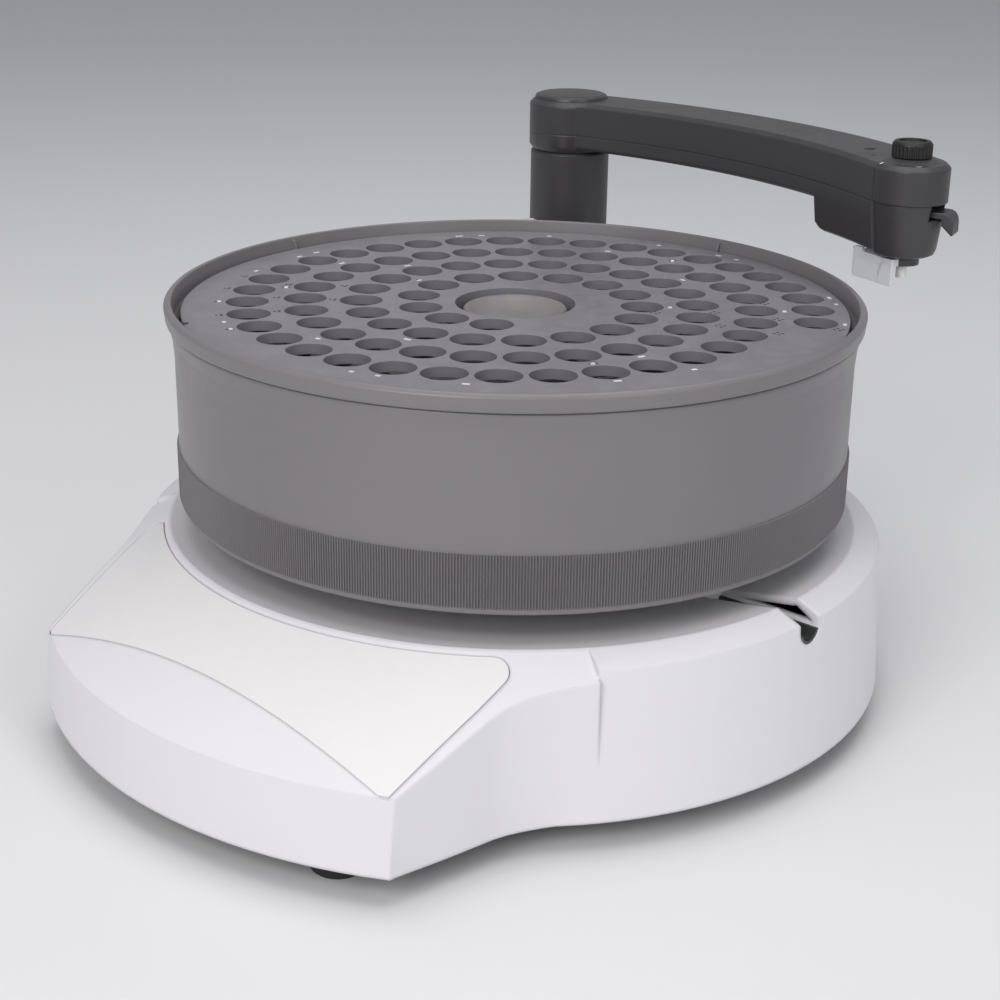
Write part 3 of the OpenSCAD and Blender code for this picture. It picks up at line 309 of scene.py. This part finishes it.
# ---- Drain liner -----------------------------------------------------------------------------
# Wet-looking gutter pressed into the floor of the slot that lets spilled liquid out of the dish; its near-black colour
# is painted shade for the deep shadow on the slot's floor.
liner_painted_shade = moulded("liner_painted_shade", (0.03, 0.034, 0.03), 0.25, grain=0.7, relief=0.03, edge=0.3, mottle=0.3)
dress("drain_liner", liner_painted_shade)

# ---- Column and its bushes -------------------------------------------------------------------
# Tube in charcoal plastic that stands in the tower, with a bronze bush for the arm's shaft at each end.
charcoal = (0.046, 0.043, 0.047)
column_charcoal = moulded("column_charcoal", charcoal, 0.40, grain=0.5, relief=0.010, edge=0.5, mottle=0.06,
                          worn=0.10, scratch=0.08)
bush_bronze = machined("bush_bronze", (0.56, 0.40, 0.20), 0.35)
dress("column", column_charcoal)
dress("column_bush_lower", bush_bronze)
dress("column_bush_upper", bush_bronze)

# ---- Arm motor, its bracket and the circuit board ---------------------------------------------
# A gearmotor stands beside the arm's shaft, screwed up to a steel strip; the board lies in the console.
motor_can = machined("motor_can", (0.30, 0.30, 0.32), 0.35, pitch=0.6)
bracket_zinc = moulded("bracket_zinc", (0.55, 0.56, 0.57), 0.35, grain=0.9, relief=0.006, edge=0.3, metallic=1.0)
board_green = moulded("board_green", (0.02, 0.10, 0.05), 0.30, grain=1.6, relief=0.02, edge=0.2, mottle=0.22,
                      coat=0.3, mottle_size=0.006)
dress("arm_motor", motor_can)
dress("arm_motor_bracket", bracket_zinc)
dress("circuit_board", board_green)

# ---- Connectors at the back ------------------------------------------------------------------
# Mains inlet, rocker switch and two round signal sockets in a recess, all in black thermoplastic.
connector_black = moulded("connector_black", (0.018, 0.018, 0.02), 0.34, grain=0.35, relief=0.008, edge=0.4)
for name in ("power_inlet", "power_switch", "signal_sockets"):
    dress(name, connector_black)

# ---- Turntable with its pins and screw ---------------------------------------------------------
# Grey turntable on the spindle; three pins on it enter the bowl's floor and carry it round.
table_grey = moulded("table_grey", (0.23, 0.23, 0.24), 0.40, grain=0.5, relief=0.01, edge=0.5)
dress("turntable", table_grey)
dress("drive_pins", screw_steel)
dress("turntable_screw", screw_steel)


# ---- Bowl ------------------------------------------------------------------------------------
# Thin-walled bowl in warm grey plastic: a turned form with a stepped rim, four gussets inside the rim
# and a band of fine upright flutes low on the wall, which the tyre of the drive sleeve grips.
def smooth_profile(points, radius, steps=3):
    """The closed outline points with each corner rounded by radius, or by less where a side is short."""
    rounded = []
    count = len(points)
    for i in range(count):
        before, here, after = (Vector(points[(i + k) % count]) for k in (-1, 0, 1))
        reach = min(radius, (before - here).length * 0.4, (after - here).length * 0.4)
        start = here + (before - here).normalized() * reach
        end = here + (after - here).normalized() * reach
        for k in range(steps + 1):
            t = k / steps
            rounded.append(start * (1 - t) ** 2 + here * 2 * t * (1 - t) + end * t * t)
    return rounded


def mesh_piece(name, form, material):
    """Turns a bmesh in metres into an object at the origin with its material, shaded smooth."""
    mesh = bpy.data.meshes.new(name)
    form.to_mesh(mesh)
    form.free()
    mesh.materials.append(material)
    mesh.shade_smooth()
    piece = bpy.data.objects.new(name, mesh)
    bpy.context.scene.collection.objects.link(piece)
    return piece


def lathe(form, outline, turns):
    """Adds to form the closed ring that outline (radius and height in mm) sweeps around the Z axis."""
    rings = []
    for k in range(turns):
        angle = 2 * math.pi * k / turns
        rings.append([form.verts.new((r * MM * math.cos(angle), r * MM * math.sin(angle), z * MM))
                      for r, z in outline])
    for k in range(turns):
        here, after = rings[k], rings[(k + 1) % turns]
        for j in range(len(outline)):
            n = (j + 1) % len(outline)
            form.faces.new((here[j], after[j], after[n], here[n]))


def prism(form, outline, place_at, depth):
    """Adds to form the flat outline carried through depth; place_at turns (u, v, w) into a point in mm."""
    sides = [[form.verts.new(Vector(place_at(u, v, w)) * MM) for u, v in outline] for w in (0.0, depth)]
    form.faces.new(list(reversed(sides[0])))
    form.faces.new(sides[1])
    for i in range(len(outline)):
        n = (i + 1) % len(outline)
        form.faces.new((sides[0][i], sides[0][n], sides[1][n], sides[1][i]))


def geometry_tree(name, inputs):
    """A geometry node tree with a mesh in and out and the named inputs."""
    tree = bpy.data.node_groups.new(name, "GeometryNodeTree")
    tree.interface.new_socket("Geometry", in_out="INPUT", socket_type="NodeSocketGeometry")
    for label, kind, value in inputs:
        socket = tree.interface.new_socket(label, in_out="INPUT", socket_type=kind)
        if value is not None:
            socket.default_value = value
    tree.interface.new_socket("Geometry", in_out="OUTPUT", socket_type="NodeSocketGeometry")
    return tree, tree.nodes.new("NodeGroupInput"), tree.nodes.new("NodeGroupOutput")


def made_by(piece, tree, values):
    """Runs a geometry node tree on piece with the named values, and keeps the result as a plain mesh."""
    modifier = piece.modifiers.new(tree.name, "NODES")
    modifier.node_group = tree
    for item in tree.interface.items_tree:
        if item.item_type == "SOCKET" and item.in_out == "INPUT" and item.name in values:
            modifier[item.identifier] = values[item.name]
    bpy.context.view_layer.update()
    evaluated = piece.evaluated_get(bpy.context.evaluated_depsgraph_get())
    mesh = bpy.data.meshes.new_from_object(evaluated)
    piece.modifiers.clear()
    piece.data = mesh
    return piece


def joined(tree, first, second):
    """The geometry of two sockets in one."""
    both = place(tree, "GeometryNodeJoinGeometry")
    tree.links.new(first, both.inputs[0])
    tree.links.new(second, both.inputs[0])
    return both.outputs[0]


def end_geometry(tree, geometry, given, out):
    """Gives all of the geometry the tree's material and hands it on."""
    painted = place(tree, "GeometryNodeSetMaterial", {"Geometry": geometry, "Material": given.outputs["Material"]})
    tree.links.new(painted.outputs[0], out.inputs[0])


def outward_turn(tree):
    """The rotation that points the X axis of an instance away from the Z axis of the part."""
    where = place(tree, "GeometryNodeInputPosition")
    flat = place(tree, "ShaderNodeVectorMath", {0: where.outputs[0], 1: (1.0, 1.0, 0.0)}, operation="MULTIPLY")
    return place(tree, "FunctionNodeAlignRotationToVector", {"Vector": flat.outputs[0]}, axis="X",
                 pivot_axis="Z").outputs[0]


def build_flute_band():
    """Half-buried upright flutes, evenly spaced on a circle, joined to the wall that comes in."""
    tree, given, out = geometry_tree("flute_band", [
        ("Flutes", "NodeSocketInt", 812), ("Circle radius", "NodeSocketFloat", 0.1413),
        ("Low end", "NodeSocketFloat", 0.09), ("Flute height", "NodeSocketFloat", 0.021),
        ("Flute depth", "NodeSocketFloat", 0.001), ("Half width", "NodeSocketFloat", 0.00036),
        ("Material", "NodeSocketMaterial", None)])
    circle = place(tree, "GeometryNodeMeshCircle", {"Vertices": given.outputs["Flutes"],
                                                    "Radius": given.outputs["Circle radius"]})
    height = place(tree, "ShaderNodeMath", {0: given.outputs["Flute height"], 1: 0.5}, operation="MULTIPLY")
    middle = place(tree, "ShaderNodeMath", {0: given.outputs["Low end"], 1: height.outputs[0]}, operation="ADD")
    lift = place(tree, "ShaderNodeCombineXYZ", {"Z": middle.outputs[0]})
    raised = place(tree, "GeometryNodeSetPosition", {"Geometry": circle.outputs[0], "Offset": lift.outputs[0]})
    flute = place(tree, "GeometryNodeMeshCylinder", {"Vertices": 8, "Radius": 1.0,
                                                     "Depth": given.outputs["Flute height"]}, fill_type="NGON")
    girth = place(tree, "ShaderNodeCombineXYZ", {"X": given.outputs["Flute depth"], "Y": given.outputs["Half width"],
                                                 "Z": 1.0})
    slim = place(tree, "GeometryNodeTransform", {"Geometry": flute.outputs["Mesh"], "Scale": girth.outputs[0]})
    copies = place(tree, "GeometryNodeInstanceOnPoints", {"Points": raised.outputs[0], "Instance": slim.outputs[0],
                                                          "Rotation": outward_turn(tree)})
    solid = place(tree, "GeometryNodeRealizeInstances", {"Geometry": copies.outputs[0]})
    end_geometry(tree, joined(tree, given.outputs["Geometry"], solid.outputs[0]), given, out)
    return tree


bowl_grey = moulded("bowl_grey", (0.200, 0.187, 0.198), 0.34, grain=0.4, relief=0.006, edge=0.4, mottle=0.03,
                    worn=0.05, scratch=0.10, smudge=0.08, dust=0.08)
rim_r, wall_r, inner_r, hub_r = 145.0, 141.4, 139.0, 22.6
under_z, floor_z, hub_z, rim_z = 82, 93, 159, 172.0
flute_low_z, flute_height = 90, 21
bowl_outline = smooth_profile([
    (40, under_z), (40, 90.2), (wall_r - 4, 90.2), (wall_r - 3.4, 87.4), (wall_r - 0.4, 87.4), (wall_r, 88.6),
    (wall_r, 150), (wall_r + 0.6, 158), (rim_r - 1.9, 163), (rim_r - 2.1, 164), (rim_r - 2.6, 164.2),
    (rim_r - 2.6, 164.7), (rim_r - 0.8, 164.9), (rim_r - 0.5, 165.6), (rim_r, 170.4), (rim_r - 1.2, 171.8),
    (rim_r - 2.6, rim_z), (rim_r - 3.2, 171.7), (rim_r - 3.9, 164.5), (inner_r, 162), (inner_r, 95),
    (inner_r - 1.5, floor_z), (hub_r, floor_z), (hub_r, 157), (21, hub_z), (18, hub_z), (18, 86), (10, 86),
    (10, under_z)], 0.5)
bowl_form = bmesh.new()
lathe(bowl_form, bowl_outline, 300)
gusset_width = 1.4
for gusset in (88.5, 178.5, 268.5, 358.5):
    turn = Matrix.Rotation(math.radians(gusset), 3, "Z")
    prism(bowl_form, [(inner_r - 0.1, 158), (inner_r + 2.8, 158), (inner_r + 2.8, 170.6), (inner_r + 1.6, 170.4),
                      (inner_r - 0.1, 165)],
          lambda u, v, w, turn=turn: turn @ Vector((u, w - gusset_width / 2, v)), gusset_width)
bmesh.ops.recalc_face_normals(bowl_form, faces=bowl_form.faces)
bowl = mesh_piece("bowl_shell", bowl_form, bowl_grey)
bowl = made_by(bowl, build_flute_band(), {
    "Flutes": 812, "Circle radius": 141.3 * MM, "Low end": flute_low_z * MM, "Flute height": flute_height * MM,
    "Flute depth": 1.0 * MM, "Half width": 0.36 * MM, "Material": bowl_grey})
bowl.data.shade_smooth()
split_edges(bowl, 40)
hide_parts("bowl")
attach(bowl, "bowl")

# ---- Hub cap ---------------------------------------------------------------------------------
# Dished grey cap pressed on the bowl's hub; fingers lift it out, so its middle is rubbed and dusty.
cap_grey = moulded("cap_grey", (0.205, 0.190, 0.190), 0.44, grain=0.5, relief=0.01, edge=0.8, mottle=0.10, worn=0.1,
                   dust=0.28, dust_colour=(0.36, 0.33, 0.30), scratch=0.3)
dress("hub_cap", cap_grey)

# ---- Tube rack -------------------------------------------------------------------------------
# Three plates on three posts: the guide on top with 95 holes along one spiral, the holder below it with
# the same holes and the support that the tubes stand on. It lifts out of the bowl in one piece.
# The guide's grey is its own colour; the slight blue mixed into it is a painted reflection of blue surroundings.
guide_grey_painted_blue_reflection = moulded("guide_grey_painted_blue_reflection", (0.215, 0.205, 0.225), 0.30, grain=0.5, relief=0.010, edge=0.4, mottle=0.08,
                     worn=0.22, dust=0.35, dust_colour=(0.36, 0.34, 0.33), scratch=0.35, smudge=0.15)
holder_grey = moulded("holder_grey", (0.155, 0.150, 0.165), 0.42, grain=0.5, relief=0.01, edge=0.3, dust=0.4)
support_grey = moulded("support_grey", (0.09, 0.087, 0.095), 0.5, grain=0.5, relief=0.01, edge=0.3, dust=0.5)
dress("tube_guide", guide_grey_painted_blue_reflection)
dress("tube_holder", holder_grey)
dress("tube_support", support_grey)
dress("rack_posts", screw_steel)
dress("rack_screws", screw_steel)


def tube_places(count=95, start_radius=124.5, start_angle=29.5, pitch=20.0, turn_pitch=23.85):
    """Radius in mm and direction in degrees of each tube hole along the spiral."""
    places = []
    radius, angle = start_radius, start_angle
    for _ in range(count):
        places.append((radius, angle))
        following = radius - turn_pitch * pitch / (2 * math.pi * radius)
        angle += 2 * math.degrees(math.asin(pitch / (radius + following)))
        radius = following
    return places


def build_marks_on_points():
    """A thin block on each point that comes in, turned to face the middle of the rack."""
    tree, given, out = geometry_tree("marks_on_points", [
        ("Length", "NodeSocketFloat", 0.0024), ("Width", "NodeSocketFloat", 0.0008),
        ("Thickness", "NodeSocketFloat", 0.0001), ("Size change", "NodeSocketFloat", 0.35),
        ("Seed", "NodeSocketInt", 4), ("Material", "NodeSocketMaterial", None)])
    size = place(tree, "ShaderNodeCombineXYZ", {"X": given.outputs["Width"], "Y": given.outputs["Length"],
                                                "Z": given.outputs["Thickness"]})
    block = place(tree, "GeometryNodeMeshCube", {"Size": size.outputs[0]})
    smallest = place(tree, "ShaderNodeMath", {0: 1.0, 1: given.outputs["Size change"]}, operation="SUBTRACT")
    change = place(tree, "FunctionNodeRandomValue", {"Min": smallest.outputs[0], "Max": 1.0,
                                                     "Seed": given.outputs["Seed"]}, data_type="FLOAT")
    scale = place(tree, "ShaderNodeCombineXYZ", {"X": 1.0, "Y": change.outputs[1], "Z": 1.0})
    copies = place(tree, "GeometryNodeInstanceOnPoints", {
        "Points": given.outputs["Geometry"], "Instance": block.outputs["Mesh"], "Rotation": outward_turn(tree),
        "Scale": scale.outputs[0]})
    solid = place(tree, "GeometryNodeRealizeInstances", {"Geometry": copies.outputs[0]})
    end_geometry(tree, solid.outputs[0], given, out)
    return tree


def points_piece(name, points):
    """An object whose mesh is the given points in mm."""
    mesh = bpy.data.meshes.new(name)
    mesh.from_pydata([Vector(p) * MM for p in points], [], [])
    piece = bpy.data.objects.new(name, mesh)
    bpy.context.scene.collection.objects.link(piece)
    return piece


mark_white = moulded("mark_white", (0.70, 0.70, 0.72), 0.5, grain=0.3, relief=0.004, edge=0.1, mottle=0.25, worn=0.0)
# Near-black for small holes: painted shade standing for the inside of each hole.
painted_hole_shade = moulded("painted_hole_shade", (0.012, 0.012, 0.013), 0.6, grain=0.3, relief=0.004, edge=0.1)
guide_top = 167.0
holes = tube_places()
tick_points = []
dash_out = 11.6  # from a hole's middle to its dash
outer_turn = 32  # dashes stand at most holes of the outer turn, and at few of the others
for i in range(len(holes) - 1):
    (r0, a0), (r1, a1) = holes[i], holes[i + 1]
    shown = (i * 7) % 5 in (0, 2, 4) if i < outer_turn else (i * 11) % 6 == 0
    if shown:
        between = i % 2 / 2
        direction = math.radians(a0 + (a1 - a0) * between)
        radius = r0 + (r1 - r0) * between + dash_out
        tick_points.append((radius * math.cos(direction), radius * math.sin(direction), guide_top + 0.03))
marks_tree = build_marks_on_points()
ticks = made_by(points_piece("guide_ticks", tick_points), marks_tree, {
    "Length": 3.7 * MM, "Width": 1.6 * MM, "Thickness": 0.08 * MM, "Size change": 0.5, "Seed": 4,
    "Material": mark_white})
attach(ticks, "rack")
# Pin-holes: squares of four between the holes, and threes outside some holes, given by their number. Each is a thin
# black block on the top: painted shade for the inside of the pin-hole.
pit_points = []
pit_z = guide_top + 0.005
for x, y in ((52.2, 28.0), (69.7, 45.3), (83.4, 30.1), (75.9, 72.5), (94.5, 55.1), (106.7, 36.7), (120.5, 59.2)):
    for dx, dy in ((-1.2, -1.2), (1.2, -1.2), (-1.2, 1.2), (1.2, 1.2)):
        pit_points.append((x + dx, y + dy, pit_z))
for i in (18, 19, 20, 21, 22, 50, 51, 52, 74, 75, 90):
    radius, direction = holes[i][0], math.radians(holes[i][1])
    cos, sin = math.cos(direction), math.sin(direction)
    for out, across in ((11.0, -0.9), (11.2, 0.9), (13.0, 0.0)):
        pit_points.append(((radius + out) * cos - across * sin, (radius + out) * sin + across * cos, pit_z))
pits = made_by(points_piece("guide_pits", pit_points), marks_tree, {
    "Length": 1.0 * MM, "Width": 1.1 * MM, "Thickness": 0.05 * MM, "Size change": 0.0, "Seed": 4,
    "Material": painted_hole_shade})
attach(pits, "rack")

# ---- Arm shaft, gear sector and pinion ---------------------------------------------------------
# Ground steel shaft through the column with a brass-coloured gear sector, driven by a small pinion.
shaft_steel = machined("shaft_steel", (0.60, 0.60, 0.61), 0.18, pitch=0.15)
gear_brass = moulded("gear_brass", (0.50, 0.36, 0.13), 0.32, grain=0.3, relief=0.004, edge=0.3, metallic=1.0)
dress("arm_shaft", shaft_steel)
dress("arm_gear", gear_brass)
dress("arm_pinion", gear_brass)

# ---- Arm -------------------------------------------------------------------------------------
# Two charcoal shells joined at a seam along the side; the top one has a bevelled rim and a cap over the
# pivot, the lower one hangs down at the head. The skin is satin and picks up light on the bevels.
arm_charcoal = moulded("arm_charcoal", charcoal, 0.36, grain=0.5, relief=0.012, edge=1.1, mottle=0.06, worn=0.10,
                       scratch=0.12, dust=0.10, dust_colour=(0.30, 0.29, 0.28))
for name in ("arm_lower_shell", "arm_upper_shell", "pivot_cap"):
    dress(name, arm_charcoal)
dress("arm_screws", screw_steel)

# ---- Printed marks on the head -----------------------------------------------------------------
# Generic white signs beside the knob: a short bar and the outline of a tube, and one black ellipse that is painted
# shade for a small lamp hole.
arm_top = 226.6
marks_form = bmesh.new()


def on_arm(x, y, turn):
    """A placing on the arm's flat top at x and y, turned by turn degrees."""
    cos, sin = math.cos(math.radians(turn)), math.sin(math.radians(turn))
    return lambda u, v, w: (x + u * cos - v * sin, y + u * sin + v * cos, arm_top - 0.02 + w)


bar = [(-2.5, -0.4), (2.5, -0.4), (2.5, 0.4), (-2.5, 0.4)]
prism(marks_form, bar, on_arm(108.6, 102.5, 100), 0.1)
stroke_half = 0.32
outer = [(-2.6, 1.1), (-2.6, -1.1)] + [(1.5 + 1.1 * math.cos(a), 1.1 * math.sin(a))
                                       for a in (math.radians(k) for k in range(-90, 91, 30))]
for i in range(len(outer)):
    a, b = Vector(outer[i]), Vector(outer[(i + 1) % len(outer)])
    side = (b - a).normalized()
    across = Vector((-side.y, side.x)) * stroke_half
    past = side * 0.1
    stroke = [a - across - past, b - across + past, b + across + past, a + across - past]
    prism(marks_form, [tuple(p) for p in stroke], on_arm(121.8, 105.8, 12), 0.1)
bmesh.ops.recalc_face_normals(marks_form, faces=marks_form.faces)
arm_marks = mesh_piece("head_marks", marks_form, mark_white)
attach(arm_marks, "arm")
# A black ellipse laid on the top: painted shade for the inside of the small lamp hole.
lamp_hole_form = bmesh.new()
lamp_hole_outline = [(2.6 * math.cos(math.radians(k)), 1.9 * math.sin(math.radians(k))) for k in range(0, 360, 12)]
prism(lamp_hole_form, lamp_hole_outline, on_arm(87.2, 128.7, 60), 0.12)
bmesh.ops.recalc_face_normals(lamp_hole_form, faces=lamp_hole_form.faces)
lamp_hole_shade = mesh_piece("lamp_hole_shade", lamp_hole_form, painted_hole_shade)
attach(lamp_hole_shade, "arm")

# ---- Drop sensor, outlet and knob --------------------------------------------------------------
# The sensor sits inside the head; the tubing's end leaves the head downwards in a pale sleeve that the
# knurled knob on top clamps.
sensor_dark = moulded("sensor_dark", (0.03, 0.04, 0.035), 0.3, grain=0.4, relief=0.006, edge=0.3, coat=0.4)
outlet_white = moulded("outlet_white", (0.74, 0.74, 0.71), 0.35, grain=0.3, relief=0.004, edge=0.3)
knob_black = moulded("knob_black", (0.010, 0.010, 0.011), 0.42, grain=0.35, relief=0.008, edge=0.35, worn=0.06,
                     mottle=0.1)
dress("drop_sensor", sensor_dark)
dress("tubing_outlet", outlet_white)
dress("holder_knob", knob_black, 40.0)

# ---- Sensor lever and its plate ----------------------------------------------------------------
# Lever that turns around the outlet, with a tab outside the head to push and a pale guard below.
dress("sensor_lever", arm_charcoal)


def clear_plastic(name, colour, rough):
    """Milky clear plastic, a little streaked."""
    material, tree, position = start_material(name)
    marks = place(tree, "ShaderNodeGroup", {"Position": position}, node_tree=handling_marks)
    corner = place(tree, "ShaderNodeGroup", {"Radius": 0.3 * MM}, node_tree=soft_edge)
    shade = tint(tree, math_node(tree, "MULTIPLY", marks.outputs["Smudges"], 0.35), colour, shaded(colour, 0.86))
    rough_now = math_node(tree, "ADD", rough, math_node(tree, "MULTIPLY", marks.outputs["Scratches"], 0.3), clamp=True)
    end_material(tree, place(tree, "ShaderNodeBsdfPrincipled", {
        "Base Color": shade, "Roughness": rough_now, "Transmission Weight": 0.25, "IOR": 1.49,
        "Coat Weight": 0.3, "Normal": corner.outputs["Normal"]}))
    return material


dress("sensor_plate", clear_plastic("guard_clear", (0.88, 0.89, 0.92), 0.12))

# ---- Bowl drive --------------------------------------------------------------------------------
# A lever on a steel pin holds the small motor; a coil spring presses the motor's rubber-tyred sleeve
# against the flutes of the bowl.
dress("lever_pin", shaft_steel)
dress("drive_lever", bracket_zinc)
dress("drive_motor", motor_can)
dress("sleeve_shaft", shaft_steel)
dress("drive_sleeve", table_grey)
dress("sleeve_tyre", foot_rubber)


def build_coil():
    """A round wire wound as a helix, painted."""
    tree, given, out = geometry_tree("coil", [
        ("Turns", "NodeSocketFloat", 4.0), ("Coil radius", "NodeSocketFloat", 0.006),
        ("Coil height", "NodeSocketFloat", 0.008), ("Wire radius", "NodeSocketFloat", 0.0008),
        ("Centre", "NodeSocketVector", (0, 0, 0)), ("Material", "NodeSocketMaterial", None)])
    helix = place(tree, "GeometryNodeCurveSpiral", {
        "Resolution": 28, "Rotations": given.outputs["Turns"], "Start Radius": given.outputs["Coil radius"],
        "End Radius": given.outputs["Coil radius"], "Height": given.outputs["Coil height"]})
    wire = place(tree, "GeometryNodeCurvePrimitiveCircle", {"Resolution": 12, "Radius": given.outputs["Wire radius"]})
    swept = place(tree, "GeometryNodeCurveToMesh", {"Curve": helix.outputs[0], "Profile Curve": wire.outputs[0],
                                                    "Fill Caps": True})
    moved = place(tree, "GeometryNodeTransform", {"Geometry": swept.outputs[0],
                                                  "Translation": given.outputs["Centre"]})
    both = joined(tree, given.outputs["Geometry"], moved.outputs[0])
    solid = place(tree, "GeometryNodeRealizeInstances", {"Geometry": both})
    end_geometry(tree, solid.outputs[0], given, out)
    return tree


def rod(form, start, end, radius, sides=12):
    """Adds to form a straight round rod between two points in mm."""
    start, end = Vector(start), Vector(end)
    along = (end - start).normalized()
    side = along.orthogonal().normalized()
    other = along.cross(side)
    rings = [[form.verts.new((p + (side * math.cos(2 * math.pi * k / sides)
                                   + other * math.sin(2 * math.pi * k / sides)) * radius) * MM)
              for k in range(sides)] for p in (start, end)]
    form.faces.new(list(reversed(rings[0])))
    form.faces.new(rings[1])
    for k in range(sides):
        n = (k + 1) % sides
        form.faces.new((rings[0][k], rings[0][n], rings[1][n], rings[1][k]))


spring_steel = machined("spring_steel", (0.50, 0.51, 0.53), 0.28, pitch=0.5)
lever_x, lever_y = 25.0, 141.0
coil_r, wire_r, coil_low_z = 6, 0.85, 48
spring_form = bmesh.new()
coil_x = lever_x + coil_r
rod(spring_form, (coil_x, lever_y, coil_low_z), (coil_x, lever_y - 16, coil_low_z), wire_r)
rod(spring_form, (coil_x, lever_y, 55.9), (coil_x, lever_y, 58.9), wire_r)
spring = mesh_piece("spring_coil", spring_form, spring_steel)
spring = made_by(spring, build_coil(), {
    "Turns": 4.0, "Coil radius": coil_r * MM, "Coil height": 8 * MM, "Wire radius": wire_r * MM,
    "Centre": (lever_x * MM, lever_y * MM, coil_low_z * MM), "Material": spring_steel})
spring.data.shade_smooth()
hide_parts("lever_spring")
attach(spring, "base")

# ---- Studio ------------------------------------------------------------------------------------
# A pale plain floor, three large soft lights and the camera where the photograph was taken.
floor_form = bmesh.new()
bmesh.ops.create_grid(floor_form, x_segments=1, y_segments=1, size=4.0)
floor_paint = bpy.data.materials.new("floor_paint")
floor_paint.use_nodes = True
floor_shader = floor_paint.node_tree.nodes["Principled BSDF"]
floor_shader.inputs["Base Color"].default_value = (0.80, 0.80, 0.81, 1.0)
floor_shader.inputs["Roughness"].default_value = 0.55
floor = mesh_piece("floor", floor_form, floor_paint)

world = bpy.data.worlds.new("studio")
world.use_nodes = True
bpy.context.scene.world = world
sky = world.node_tree
sky.nodes.clear()
seen = place(sky, "ShaderNodeLightPath")
light = place(sky, "ShaderNodeBackground", {"Color": (0.92, 0.94, 1.0, 1.0), "Strength": 0.34})
backdrop = place(sky, "ShaderNodeBackground", {"Color": (0.84, 0.85, 0.87, 1.0), "Strength": 1.0})
choice = place(sky, "ShaderNodeMixShader", {0: seen.outputs["Is Camera Ray"], 1: light.outputs[0],
                                            2: backdrop.outputs[0]})
sky_out = place(sky, "ShaderNodeOutputWorld")
sky.links.new(choice.outputs[0], sky_out.inputs[0])


def soft_light(name, location, target, size, power, colour):
    """A flat area light, size (width, height) in metres, at location and aimed at target."""
    lamp = bpy.data.lights.new(name, "AREA")
    lamp.shape = "RECTANGLE"
    lamp.size, lamp.size_y = size
    lamp.energy = power
    lamp.color = colour
    holder = bpy.data.objects.new(name, lamp)
    holder.location = location
    holder.rotation_euler = (Vector(target) - Vector(location)).to_track_quat("-Z", "Y").to_euler()
    bpy.context.scene.collection.objects.link(holder)


middle = (0.0, 0.0, 0.1)
soft_light("overhead", (0.1, 0.1, 1.7), middle, (1.6, 1.6), 14.0, (1.0, 0.99, 0.98))
soft_light("front", (0.45, -1.65, 1.15), middle, (1.0, 1.0), 17.0, (1.0, 0.985, 0.97))
soft_light("right", (1.8, -0.35, 1.0), middle, (0.6, 1.1), 6.0, (0.97, 0.98, 1.0))

camera_data = bpy.data.cameras.new("camera")
camera_data.lens = 64.8
camera_data.sensor_width = 36.0
camera_data.clip_start, camera_data.clip_end = 0.01, 50.0
camera = bpy.data.objects.new("camera", camera_data)
station = Vector((0.4824, -0.5531, 0.3570))
look = Vector((-0.6195, 0.7002, -0.3548)).normalized()
level = look.cross(Vector((0, 0, 1))).normalized()
upright = level.cross(look)
roll = math.radians(0.81)
right = level * math.cos(roll) + upright * math.sin(roll)
up = -level * math.sin(roll) + upright * math.cos(roll)
camera.matrix_world = Matrix([(right[k], up[k], -look[k], station[k]) for k in range(3)] + [(0, 0, 0, 1)])
bpy.context.scene.collection.objects.link(camera)
bpy.context.scene.camera = camera
bpy.context.scene.view_settings.view_transform = "Standard"
